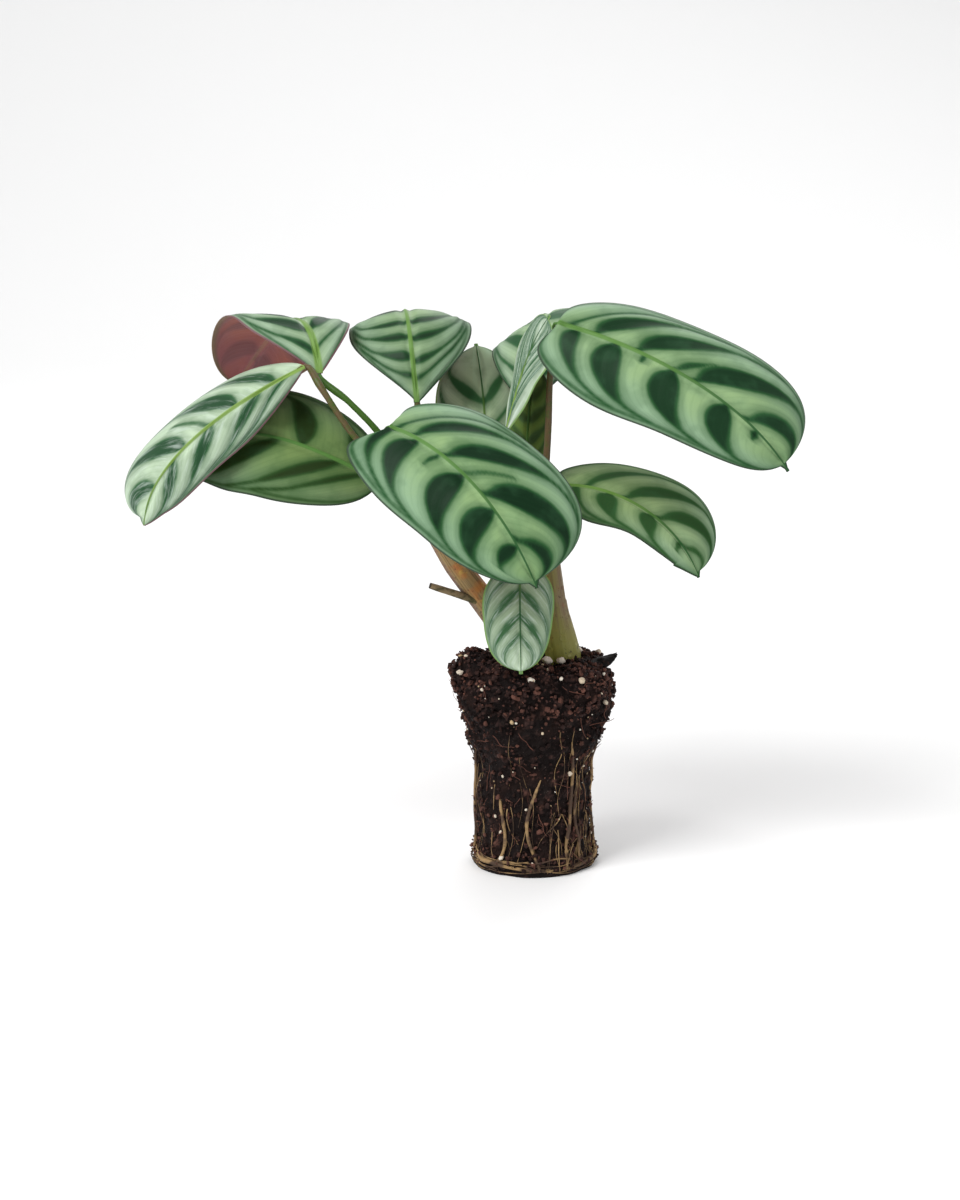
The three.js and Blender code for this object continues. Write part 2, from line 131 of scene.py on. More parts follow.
# Each blade's own values: the curve of its midrib, the direction of its right half at the base and at
# the tip, the half widths of its two halves, its dark bands, and its tone, which is how far its green
# turns to silver. A band has the place where it leaves the midrib and its width, both as shares of the
# midrib's length, and a short band also the share of the way to the margin where it ends.
BLADE_TABLE = {
    "front": {
        "rib": ((-34, -14, 109.5), (-22, -24, 107), (-8, -33, 95.5), (0, -34, 75)),
        "right": ((-0.75, -0.5, -0.4), (-0.86, -0.26, -0.3)),
        "half": ((27, 19, 20, 28), (19, 20, 16, 12)),
        "arch": (0.6, 0.7), "lobe": (9, 14), "wave": 0.4,
        "left_bands": (
            (0.025, 0.015), (0.12, 0.08), (0.3, 0.11), (0.42, 0.004, 0.42), (0.54, 0.16), (0.77, 0.11),
        ),
        "right_bands": (
            (0.03, 0.085), (0.165, 0.1), (0.29, 0.025, 0.28), (0.43, 0.13), (0.63, 0.12), (0.81, 0.07, 0.6),
        ),
        "step": 0.27, "tone": 0.03, "sweep": (0.31, -0.03), "curl": (0.1, 0.28),
        "growth": (0.26, 0.05), "tail": (5, 0.8), "rise": (1.2, 0.75), "fall": (1.5, 1),
    },
    "left": {
        "rib": ((-54.5, 0, 121.5), (-67, -6, 116), (-91, -13, 102.5), (-91.5, -15, 86)),
        "right": ((-0.7, 0.4, 0.55), (-0.72, 0.3, 0.55)),
        "half": ((3.5, 12, 8, 10), (24, 18, 10, 28)),
        "arch": (0.7, 0.8), "fold": (-0.1, -0.4), "wave": 0.4,
        "left_bands": ((0.07, 0.06), (0.23, 0.1), (0.48, 0.11), (0.7, 0.1)),
        "right_bands": ((0.14, 0.09), (0.34, 0.12), (0.48, 0.01, 0.5), (0.62, 0.12), (0.83, 0.1)),
        "tone": 0.64, "dark": 0.9, "sweep": (0.25, 0.19), "tail": (7, 0.6), "midrib": 1.25,
        "margin": "margin_purple", "pale_rib": 1.3,
    },
    "left_back": {
        "rib": ((-51, 2, 119.5), (-53, 8, 134), (-58, 26, 138), (-74, 30, 112)),
        "right": ((0.95, 0.15, 0.1), (0.68, 0.5, -0.45)),
        "half": ((4, 20, 16, 14), (4, 16, 18, 14)),
        "fold": (0.1, 0.2),
        "left_bands": ((0.1, 0.07), (0.25, 0.1), (0.38, 0.1), (0.55, 0.11), (0.75, 0.11)),
        "right_bands": ((0.12, 0.02), (0.27, 0.1), (0.42, 0.11), (0.6, 0.11), (0.8, 0.11)),
        "tone": 0.35, "midrib": 1.6, "margin": "margin_purple",
    },
    "left_low": {
        "rib": ((-36.5, -4, 95), (-53.5, -4, 103), (-72, 0, 113), (-88, 2, 98)),
        "right": ((0.08, 0.6, 0.8), (0.08, 0.6, 0.8)),
        "half": ((15, 14, 17, 13), (16, 16.5, 14, 14)),
        "wave": 0.4,
        "left_bands": ((0.05, 0.06), (0.19, 0.1), (0.47, 0.12), (0.7, 0.12)),
        "right_bands": ((0.12, 0.09), (0.365, 0.1), (0.6, 0.13), (0.8, 0.1)),
        # This blade lies under the left blade: part of its olive and all of its darkening are painted shade.
        "tone": 0, "olive": 0.5, "painted_shade": 0.24, "sweep": (0.34, 0.04), "growth": (0.2, 0),
        "rise": (0.75, 0.7), "fall": (1.2, 0.9), "gloss": 0.05,
    },
    "mid_back": {
        "rib": ((-28, 4, 112.3), (-30, 8, 131), (-31.5, 28, 143), (-33, 44, 118)),
        "right": ((0.98, 0, 0.12), (0.98, 0, 0.12)),
        "half": ((2, 26, 9, 14), (5, 26, 10, 15)),
        "fold": (0, -0.1),
        "left_bands": ((0.12, 0.03), (0.21, 0.055), (0.31, 0.045), (0.4, 0.04), (0.56, 0.08), (0.76, 0.09)),
        "right_bands": ((0.1, 0.025), (0.18, 0.04), (0.295, 0.045), (0.4, 0.05), (0.58, 0.08), (0.78, 0.09)),
        # Its darkening is painted shade.
        "tone": 0.2, "painted_shade": 0.14, "sweep": (0, 0.03), "curl": (0.12, 0.25), "rim": 0.7, "rise": (0.6, 0.6),
        "pale_rib": 1.5, "midrib": 1.1,
    },
    "under": {
        "rib": ((-11.8, 13, 101), (-11.5, 17, 109), (-13, 24, 118), (-14, 31, 123)),
        "right": ((1, 0, 0), (1, 0, 0)),
        "half": ((12, 13, 12, 7), (9, 9, 9, 7)),
        "arch": (0.4, 0.4), "wave": 0.2,
        "left_bands": ((0.38, 0.13), (0.05, 0.03)),
        "right_bands": ((0.38, 0.13), (0.05, 0.03)),
        "tone": 0.44, "olive": 0.2, "dark": 0.6, "sweep": (0.36, 0.36), "rim": 0, "margin": "margin_bright",
        "pale_rib": 0.6, "midrib": 0.8, "gloss": 0,
    },
    "right_back": {
        "rib": ((-1, 14, 110.7), (-0.5, 17, 126.2), (3, 31, 141.3), (6, 46, 119.5)),
        "right": ((0.9, 0.1, 0.3), (0.9, 0.1, 0.2)),
        "half": ((8, 18, 12, 14), (5, 18, 14, 14)),
        "fold": (-0.25, 0),
        "left_bands": ((0.1, 0.05), (0.3, 0.09), (0.5, 0.1), (0.7, 0.1)),
        "right_bands": ((0.1, 0.05), (0.3, 0.09), (0.5, 0.1), (0.7, 0.1)),
        "tone": 0.3, "dark": 0.6,
    },
    "slim": {
        "rib": ((-7, 1, 105.5), (-4.5, 1, 116), (-2, 1, 126), (3.3, -1, 133.5)),
        "right": ((0.3, -0.92, -0.1), (0.42, -0.88, -0.1)),
        "half": ((3, 7, 9, 11), (3, 7, 9, 11)),
        "arch": (0.3, 0.3),
        "left_bands": ((0.02, 0.03), (0.16, 0.03), (0.3, 0.05), (0.46, 0.04), (0.62, 0.05)),
        "right_bands": ((0.02, 0.03), (0.18, 0.04), (0.34, 0.04), (0.5, 0.05), (0.66, 0.04)),
        "tone": 1, "dark": 0.8, "sweep": (0.8, 0.7), "rim": 0, "margin": "margin_bright",
    },
    "right": {
        "rib": ((5.1, -8, 132.8), (22, -14, 129), (47, -22, 118), (58, -22, 100)),
        "right": ((-0.52, -0.53, -0.62), (-0.6, -0.4, -0.62)),
        "half": ((18, 17, 14, 29), (18, 20, 10, 13)),
        "arch": (0.7, 0.7), "lobe": (3, 8), "wave": 0.4,
        "left_bands": (
            (0.035, 0.015), (0.135, 0.1), (0.3, 0.11), (0.45, 0.035, 0.4), (0.53, 0.14), (0.755, 0.11),
        ),
        "right_bands": (
            (0.08, 0.07), (0.23, 0.11), (0.34, 0.02, 0.14), (0.455, 0.12), (0.68, 0.11), (0.82, 0.035, 0.25),
        ),
        "step": 0.27, "tone": 0.08, "dark": 0.95, "sweep": (0.27, 0), "curl": (0.1, 0.22),
        "growth": (0.22, 0.05), "tail": (4, 0.9), "rise": (1.3, 0.75), "fall": (1.8, 1),
    },
    "young": {
        "rib": ((-2, 7, 94), (-2, 8, 102), (-1.5, 9, 112), (0, 10, 120.5)),
        "right": ((0.85, -0.45, 0), (0.85, -0.45, 0)),
        "half": ((5, 6, 6, 5), (5, 6, 6, 5)),
        "arch": (0.4, 0.4), "wave": 0.1,
        "left_bands": ((0.1, 0.08), (0.3, 0.1), (0.5, 0.1), (0.7, 0.1)),
        "right_bands": ((0.1, 0.08), (0.3, 0.1), (0.5, 0.1), (0.7, 0.1)),
        "tone": 0, "olive": 1, "dark": 0.8, "rim": 0,
    },
    "right_low": {
        "rib": ((7, 2, 93), (20, -2, 93.5), (34, -6, 86), (39, -7, 72)),
        "right": ((-0.42, -0.77, -0.4), (-0.6, -0.6, -0.4)),
        "half": ((20, 17, 22, 20), (15, 8, 6, 6)),
        "arch": (0.6, 0.6), "lobe": (8, 0),
        "left_bands": ((0.12, 0.08), (0.36, 0.11), (0.58, 0.11), (0.8, 0.04, 0.4)),
        "right_bands": ((0.08, 0.06), (0.28, 0.13), (0.55, 0.12), (0.78, 0.04, 0.45)),
        "tone": 0.2, "olive": 0.45, "dark": 0.65, "sweep": (0.34, 0), "curl": (0.1, 0.22),
        "growth": (0.15, 0), "rise": (1.2, 0.9), "tail": (5, 0.8), "gloss": 0,
    },
    "small": {
        "rib": ((-3.7, -15, 77), (-3.7, -19, 70), (-3.6, -21, 60), (-3.4, -20, 51.5)),
        "right": ((-1, 0, 0), (-1, 0, 0)),
        "half": ((10.5, 8.5, 7, 7), (10.5, 9.5, 8, 9)),
        "wave": 0.2,
        "left_bands": ((0.0, 0.09), (0.25, 0.1), (0.48, 0.1), (0.66, 0.05, 0.7)),
        "right_bands": ((0.0, 0.09), (0.24, 0.1), (0.47, 0.1), (0.64, 0.05, 0.7)),
        "tone": 0.69, "olive": 0.3, "dark": 0.4, "sweep": (0.3, 0.3), "rim": 0.3, "margin": "margin_bright",
        "pale_rib": 0.4, "midrib": 0.8,
    },
}
BLADES = {name: {**USUAL_BLADE, **values} for name, values in BLADE_TABLE.items()}

# A shoot's sheath, and its stalks: the leaf that each carries, its route, and how brown it is.
STALK_RADIUS = 0.85
SHOOTS = {
    "left": {
        "sheath": ((-0.5, 1.5, 38), (-1.6, 0.8, 50), (-9.8, -1, 62), (-19.8, -3, 76), (-26, -4, 86)),
        "radii": (2.6, 3.2, 3, 2.7, 1.7),
        "stalks": {
            "left": (
                ((-18, -3, 75), (-27, -5, 87), (-36, -8, 98), (-44, -6, 107.5), (-50.5, -3.5, 117)), 0.9,
            ),
            "left_back": (((-18, -2.5, 75), (-26, -2, 87), (-35, -3, 103.5), (-44, -0.5, 113)), 0),
            "left_low": (((-20, -3, 78), (-27, -4, 87.5), (-31.5, -4, 91.5)), 0.5),
            "mid_back": (((-18, -2, 75), (-24.5, -2, 86), (-27, 1.5, 100)), 0.3),
            "front": (((-19, -3, 76), (-27, -5, 89), (-32.5, -6.5, 99), (-35.5, -10, 105.5)), 0.3),
        },
    },
    "right": {
        "sheath": ((7.6, 1, 38), (7.2, 1, 50), (5, 1.2, 62), (3.7, 1.8, 72), (2, 3, 88)),
        "radii": (3.2, 4, 3.1, 2.7, 1.7),
        "stalks": {
            "right": (
                ((3, 2.4, 78), (2.6, 1.4, 92), (3.2, 0, 107), (3.6, -1, 120), (4.6, -3.8, 127.8)), 0.9,
            ),
            "right_low": (((3.6, 2, 74), (4.4, 2, 86), (5, 2.4, 91)), 0.4),
            "right_back": (((3, 2.6, 80), (3.8, 8, 92), (1, 13.5, 103)), 0.5),
            "slim": (((3, 2.4, 80), (-1, 1.6, 90), (-6, 1, 98)), 0.3),
            "young": (((3, 2.6, 78), (0.6, 5, 86), (-1.5, 6.6, 90.5)), 0.2),
            "under": (((3, 2.8, 76), (-4, 8, 86), (-10.8, 11.5, 94)), 0.4),
        },
    },
    "small": {
        "sheath": ((-0.5, -6.8, 38), (-0.7, -6.8, 50), (-1.8, -7.4, 62)),
        "radii": (1.3, 1.7, 1.1),
        "stalks": {
            "small": (((-1.2, -7.2, 56), (-2.6, -8, 70), (-3.4, -10.5, 78.6)), 0),
        },
    },
}
CUT_STUB = ((-10.5, -2, 64), (-16.5, -4, 66.6), (-25, -5, 69.6))

# A stalk's radius, as shares of the full one at shares of its length: it swells below the blade.
STALK_PROFILE = ((0, 0.5, 0.8, 0.86, 0.93, 0.97, 1), (1.0, 0.95, 0.85, 1.05, 1.0, 0.75, 0.4))
STUB_PROFILE = ((0, 0.6, 0.9, 1), (1.0, 0.85, 0.8, 0.72))
# Where a stalk runs into its blade's underside: the share of the midrib's length and the depth.
ENTRY_PLACE = 0.03
ENTRY_DEPTH = 0.35
# The blades whose stalks end thin and green.
GREEN_ENDS = ("front", "right")
# What a stalk's attribute kind is for the dry stub.
DRY = 2

# fineness of the visible meshes

SHORT_BLADE = 40
BLADE_COLUMNS = (66, 44)  # of a long and a short blade: even, so that one column lies on the midrib
PLUG_SIDES = 280
PLUG_WALL_ROWS = 156
PLUG_TOP_ROWS = 60
SHEATH_SIDES = 48
SHEATH_ROWS = 90
PATH_POINTS = 60
FINE_PATH_POINTS = 30
FIBRE_POINTS = 14
GROUND_GRID = (90, 60, 24)  # sides, wall rows and top rows of the surface that grains are spread on
PERLITE_BALL = (14, 20, 0.03)  # rows, columns and the gap at the poles, in radians
BARK_BALL = (26, 36, 0.02)
# The area of the plug's wall and top, in square metres, that the counts of grains are for.
GROUND_AREA = 2 * math.pi * 0.017 * 0.049 + math.pi * 0.019**2

# The camera stands where the photograph's did: its height angle, distance and aim, in millimetres.
CAMERA_ELEVATION = 12
CAMERA_DISTANCE = 700
CAMERA_AIM = (-13, 0, 65)
SENSOR = 36
LENS = 87.5

# The floor runs level for a share of its half length and then bends up, with a share of it as radius.
FLOOR_LEVEL = 0.45
FLOOR_BEND = 0.3
FLOOR_BEND_ROWS = 24
ROOM_LIGHT = 0.62
# The lamps: place in metres, power in watts and width in metres. All of them face one point.
LAMPS = {
    "key": ((-0.6, -0.6, 0.95), 13, 0.6),
    "fill": ((0.9, -0.7, 0.4), 2, 0.9),
    "back": ((0.2, 0.9, 0.9), 5, 0.8),
}
LAMP_AIM = (0, 0, 0.09)


def from_screen(red, green, blue):
    """A colour named by its 0 to 255 screen values, as the linear values that shaders use."""
    def linear(value):
        value /= 255
        return value / 12.92 if value <= 0.04045 else ((value + 0.055) / 1.055) ** 2.4
    return tuple(linear(value) for value in (red, green, blue))


def colour(name, screen, description):
    return FloatVectorProperty(
        name=name, description=description, subtype="COLOR", size=3, min=0, max=1,
        default=from_screen(*screen),
    )


def length(name, millimetres, description):
    return FloatProperty(
        name=name, description=description, default=millimetres * MM, min=0, unit="LENGTH", precision=5,
    )


class PlantSizes(bpy.types.PropertyGroup):
    """Sizes of the parts of the plant that a user would change."""

    blade_thickness: length("Blade thickness", 0.4, "Thickness of a leaf blade beside its midrib")
    quilt_depth: length("Quilting", 0.26, "How far the blade rises between two bands")
    crumb_size: length("Crumb size", 0.42, "Radius of the soil's middle-sized crumbs")
    crumb_count: IntProperty(
        name="Crumbs", description="How many loose crumbs cover the soil", default=2600, min=0,
    )
    perlite_size: length("Perlite size", 0.5, "Radius of the soil's perlite grains")
    perlite_count: IntProperty(
        name="Perlite grains", description="How many perlite grains show on the soil", default=110, min=0,
    )
    fibre_count: IntProperty(
        name="Fibres", description="How many coir fibres lie on the soil", default=150, min=0,
    )
    rootlet_count: IntProperty(
        name="Rootlets", description="How many fine side roots run down the plug", default=90, min=0,
    )
    floor_size: length("Floor size", 4000, "Length of the pale floor")


class PlantColours(bpy.types.PropertyGroup):
    """Colours of the plant that a user would change."""

    pale: colour("Pale green", (114, 144, 98), "Leaf between the bands, near the midrib")
    pale_middle: colour("Yellow-green", (144, 172, 112), "Patches in the middle of the pale stripes")
    # Near the margin the pale green is partly the leaf's own colour and partly a painted reflection where
    # the curled margin catches the light.
    pale_outer_and_reflection: colour("Pale blue-green", (124, 154, 124), "Leaf between the bands, near the margin")
    pale_light: colour("Silver green", (190, 206, 184), "Leaf between the bands on the lightest blades")
    pale_olive: colour("Olive green", (98, 120, 52), "Leaf between the bands on the darkest blades")
    band: colour("Band", (4, 36, 14), "Middle of a dark herringbone band")
    band_edge: colour("Band edge", (34, 76, 38), "Edge of a band and the thin lines that leave it")
    band_light: colour("Light band", (58, 102, 68), "Bands of the lightest blades")
    midrib: colour("Midrib", (78, 118, 56), "Midrib near the blade's base")
    midrib_light: colour("Light midrib", (126, 156, 72), "Midrib of the lightest blades near the base")
    midrib_tip: colour("Midrib tip", (36, 78, 40), "Midrib near the blade's tip")
    margin: colour("Margin", (44, 56, 44), "Thin margin of a blade")
    margin_bright: colour("Bright margin", (104, 142, 66), "Green edge of the lightest blades")
    margin_purple: colour("Purple margin", (108, 62, 78), "Edge that shows the underside's colour")
    # Painted reflection: whitish streaks laid into the colour of the lightest blades.
    painted_glint: colour("Glints", (206, 220, 210), "Whitish streaks of gloss on the upper faces")
    margin_under: colour("Margin underneath", (92, 96, 52), "Margin of a blade's underside")
    midrib_under: colour("Midrib underneath", (140, 128, 76), "Midrib on a blade's underside")
    underside: colour("Underside", (130, 70, 72), "Underside of a blade")
    underside_warm: colour("Underside, warm", (150, 80, 58), "Underside where light comes through")
    sheath_left: colour("Left sheath", (150, 126, 80), "Sheath of the left shoot")
    sheath_right: colour("Right sheath", (120, 114, 58), "Sheath of the right shoot")
    sheath_small: colour("Small sheath", (166, 170, 78), "Sheath of the small shoot")
    sheath_shadow: colour("Sheath streaks", (84, 68, 44), "Brown streaks along the sheaths")
    sheath_warm: colour("Sheath glow", (180, 112, 44), "Orange patches of the sheaths")
    sheath_mauve: colour("Sheath mauve", (124, 100, 88), "Greyish side of a sheath")
    sheath_yellow: colour("Sheath yellow", (190, 158, 66), "Yellow flecks of the sheaths")
    sheath_foot: colour("Sheath foot", (136, 138, 60), "Swollen foot of a sheath")
    sheath_ring: colour("Foot rings", (200, 196, 130), "Pale rings on a sheath's foot")
    speckle: colour("Speckle", (140, 52, 28), "Reddish speckles of the sheaths")
    stalk_green: colour("Green stalk", (50, 84, 16), "Green leaf stalk")
    stalk_brown: colour("Brown stalk", (88, 68, 46), "Brown leaf stalk")
    stub: colour("Dry stub", (122, 106, 78), "Cut and dried leaf stalk")
    soil_dark: colour("Dark soil", (50, 34, 31), "Soil in the hollows")
    soil_brown: colour("Brown soil", (98, 65, 55), "Crumbs of bark and coir")
    perlite: colour("Perlite", (224, 216, 202), "Perlite grains")
    perlite_stained: colour("Stained perlite", (176, 150, 112), "Perlite grains stained by the soil")
    fibre_pale: colour("Pale fibre", (150, 116, 78), "Lightest coir fibres")
    root: colour("Root", (150, 122, 84), "Roots on the plug")
    floor: colour("Floor", (238, 238, 238), "Pale floor")


# small helpers for arrays and curves


def smoothstep(low, high, value):
    t = np.clip((value - low) / (high - low), 0, 1)
    return t * t * (3 - 2 * t)


def bump(distance, spread):
    return np.exp(-((distance / spread) ** 2))


def unit(vectors):
    return vectors / np.linalg.norm(vectors, axis=-1, keepdims=True)


def bezier(values, t):
    a, b, c, d = (np.asarray(value, float) for value in values)
    s = 1 - t
    return s**3 * a + 3 * s * s * t * b + 3 * s * t * t * c + t**3 * d


def even_steps(path, count):
    """count points evenly spaced along a fine polyline."""
    gaps = np.linalg.norm(np.diff(path, axis=0), axis=1)
    reached = np.concatenate([[0], np.cumsum(gaps)])
    wanted = np.linspace(0, reached[-1], count)
    return np.stack([np.interp(wanted, reached, path[:, axis]) for axis in range(3)], axis=1)


def smooth_path(points, count):
    """The smooth curve through the points that the solids' rods follow, at evenly spaced places."""
    points = np.asarray(points, float)
    extended = np.concatenate([[2 * points[0] - points[1]], points, [2 * points[-1] - points[-2]]])
    t = np.linspace(0, 1, 24, endpoint=False)[:, None]
    stretches = []
    for k in range(len(points) - 1):
        p0, p1, p2, p3 = extended[k:k + 4]
        d0, d1, d2 = (max(np.linalg.norm(b - a), 1e-6) ** 0.5 for a, b in ((p0, p1), (p1, p2), (p2, p3)))
        start = ((p1 - p0) / d0 - (p2 - p0) / (d0 + d1) + (p2 - p1) / d1) * d1
        end = ((p2 - p1) / d1 - (p3 - p1) / (d1 + d2) + (p3 - p2) / d2) * d1
        stretches.append(
            p1 + start * t + (-3 * p1 + 3 * p2 - 2 * start - end) * t**2
            + (2 * p1 - 2 * p2 + start + end) * t**3
        )
    return even_steps(np.concatenate([*stretches, points[-1:]]), count)


def carried_frames(path):
    """The normal and binormal along a path, carried on without twisting."""
    tangents = unit(np.gradient(path, axis=0))
    normal = np.cross(tangents[0], (0.2, 1, 0.1))
    normals = []
    for tangent in tangents:
        normal = normal - tangent * normal.dot(tangent)
        normal = normal / np.linalg.norm(normal)
        normals.append(normal)
    normals = np.array(normals)
    return normals, np.cross(tangents, normals)


def spread_values(values, share):
    """Values spread evenly over 0 to 1, read between their places."""
    return np.interp(share, np.linspace(0, 1, len(values)), values)


# meshes


def grid_faces(rows, columns, closed=False):
    """Quads of a grid of points, numbered row by row. closed joins the last column to the first."""
    row, column = np.meshgrid(
        np.arange(rows - 1), np.arange(columns if closed else columns - 1), indexing="ij")
    after = (column + 1) % columns
    corners = [row * columns + column, row * columns + after,
               (row + 1) * columns + after, (row + 1) * columns + column]
    return np.stack([corner.ravel() for corner in corners], axis=1)


def closed_skin(rings, foot=None, crown=None):
    """Points and faces of rings joined to a closed skin. foot and crown are the points that close its
    two ends, which lie in the middle of the end rings unless they are given."""
    rows, columns = rings.shape[:2]
    foot = rings[0].mean(axis=0) if foot is None else foot
    crown = rings[-1].mean(axis=0) if crown is None else crown
    last, tip = (rows - 1) * columns, rows * columns
    faces = list(grid_faces(rows, columns, closed=True))
    for k in range(columns):
        after = (k + 1) % columns
        faces.append((tip, after, k))
        faces.append((tip + 1, last + k, last + after))
    return np.concatenate([rings.reshape(-1, 3), [foot, crown]]), faces


def around(angle, reach, z):
    """Points at an angle round the vertical axis, at a distance from it and a height."""
    return np.stack(np.broadcast_arrays(reach * np.cos(angle), reach * np.sin(angle), z), axis=-1)


def ball_rings(rows, columns, gap):
    """Rings of points on a ball of radius 1, from just above its foot to just below its top."""
    polar = np.linspace(math.pi - gap, gap, rows)[:, None]
    angle = np.linspace(0, 2 * np.pi, columns, endpoint=False)[None, :]
    return around(angle, np.sin(polar), np.cos(polar))


def placed(name, data):
    """An object at the origin that shows the data."""
    item = bpy.data.objects.new(name, data)
    bpy.context.scene.collection.objects.link(item)
    return item


def keep_values(mesh, attributes):
    """Keeps one number for each point of the mesh in every attribute."""
    for name, values in attributes.items():
        attribute = mesh.attributes.new(name, "FLOAT", "POINT")
        attribute.data.foreach_set("value", np.asarray(values, np.float32))


def new_piece(name, points_mm, faces, materials, face_material=None, uvs=None, attributes=None):
    """A mesh object at the origin. uvs maps a UV layer's name to one pair for each face corner."""
    mesh = bpy.data.meshes.new(name)
    mesh.from_pydata((np.asarray(points_mm) * MM).tolist(), [], [tuple(map(int, face)) for face in faces])
    for material in materials:
        mesh.materials.append(material)
    if face_material is not None:
        mesh.polygons.foreach_set("material_index", np.asarray(face_material, np.int32))
    for layer, pairs in (uvs or {}).items():
        mesh.uv_layers.new(name=layer).data.foreach_set("uv", np.asarray(pairs, np.float32).ravel())
    keep_values(mesh, attributes or {})
    mesh.shade_smooth()
    mesh.update()
    return placed(name, mesh)


def own(piece, slot, *nodes):
    """The piece rides on the plant's body and stands for the nodes. slot is not used."""
    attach(piece, BODY)
    if nodes:
        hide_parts(*nodes)


def bake_nodes(piece, tree, settings):
    """Runs a Geometry Nodes tree on the piece and leaves its result as the piece's plain mesh."""
    modifier = piece.modifiers.new(tree.name, "NODES")
    modifier.node_group = tree
    for item in tree.interface.items_tree:
        if item.item_type == "SOCKET" and item.in_out == "INPUT" and item.name in settings:
            modifier[item.identifier] = settings[item.name]
    bpy.context.view_layer.update()
    graph = bpy.context.evaluated_depsgraph_get()
    mesh = bpy.data.meshes.new_from_object(piece.evaluated_get(graph), depsgraph=graph)
    name = piece.name
    mesh.name = name
    bpy.data.objects.remove(piece)
    return placed(name, mesh)


# node trees


class Wire:
    """A value in a node tree. Sums, products and the like add their Math nodes."""

    def __init__(self, nodes, socket):
        self.nodes = nodes
        self.socket = socket

    def __add__(self, other):
        return self.nodes.math("ADD", self, other)

    def __sub__(self, other):
        return self.nodes.math("SUBTRACT", self, other)

    def __rsub__(self, other):
        return self.nodes.math("SUBTRACT", other, self)

    def __mul__(self, other):
        return self.nodes.math("MULTIPLY", self, other)

    def __pow__(self, other):
        return self.nodes.math("POWER", self, other)

    def __abs__(self):
        return self.nodes.math("ABSOLUTE", self)

    __radd__ = __add__


class Nodes:
    """A node tree while it is written."""

    def __init__(self, tree):
        self.tree = tree

    def link(self, value, socket):
        if isinstance(value, Wire):
            self.tree.links.new(value.socket, socket)
        elif socket.type == "RGBA":
            socket.default_value = (*value, 1)
        else:
            socket.default_value = value

    def node(self, kind, settings=None, sockets=None, out=0):
        """Adds a node: its settings first, then the values or links of its sockets."""
        node = self.tree.nodes.new(kind)
        for key, value in (settings or {}).items():
            setattr(node, key, value)
        for key, value in (sockets or {}).items():
            self.link(value, node.inputs[key])
        return Wire(self, node.outputs[out])

    def math(self, operation, *values):
        return self.node("ShaderNodeMath", {"operation": operation}, dict(enumerate(values)))


class Finish(Nodes):
    """A material's node tree while it is written. A colour is a wire, three numbers or the name of one
    of the plant's colours."""

    def __init__(self, name):
        self.material = bpy.data.materials.new(name)
        self.material.use_nodes = True
        super().__init__(self.material.node_tree)
        self.shader = next(node for node in self.tree.nodes if node.type == "BSDF_PRINCIPLED")

    def blend(self, a, b, factor):
        """Colour a turning to colour b."""
        a, b = (shade(value) if isinstance(value, str) else value for value in (a, b))
        return self.node("ShaderNodeMix", {"data_type": "RGBA"}, {0: factor, 6: a, 7: b}, out=2)

    def step(self, value, low, high):
        """0 below low, 1 above high, smooth between them. low may be above high."""
        settings = {"interpolation_type": "SMOOTHSTEP"}
        sockets = {0: value, 1: low, 2: high} if low < high else {0: value, 1: high, 2: low, 3: 1.0, 4: 0.0}
        return self.node("ShaderNodeMapRange", settings, sockets)

    def place(self):
        return self.node("ShaderNodeTexCoord", out="Object")

    def attribute(self, name):
        return self.node("ShaderNodeAttribute", {"attribute_name": name}, out="Fac")

    def uv(self, layer):
        """The two values of a UV layer."""
        both = self.node("ShaderNodeUVMap", {"uv_map": layer})
        split = self.node("ShaderNodeSeparateXYZ", None, {0: both})
        return split, Wire(self, split.socket.node.outputs[1])

    def vector(self, x, y, z):
        return self.node("ShaderNodeCombineXYZ", None, {0: x, 1: y, 2: z})

    def grain(self, vector, scale, detail=2.0, roughness=0.5):
        sockets = {"Vector": vector, "Scale": scale, "Detail": detail, "Roughness": roughness}
        return self.node("ShaderNodeTexNoise", None, sockets)

    def cells(self, vector, scale):
        return self.node("ShaderNodeTexVoronoi", None, {"Vector": vector, "Scale": scale}, out="Distance")

    def bumped(self, height, distance, strength):
        sockets = {"Strength": strength, "Distance": distance, "Height": height}
        return self.node("ShaderNodeBump", None, sockets)

    def finish(self, **sockets):
        for name, value in sockets.items():
            self.link(value, self.shader.inputs[name.replace("_", " ")])
        return self.material


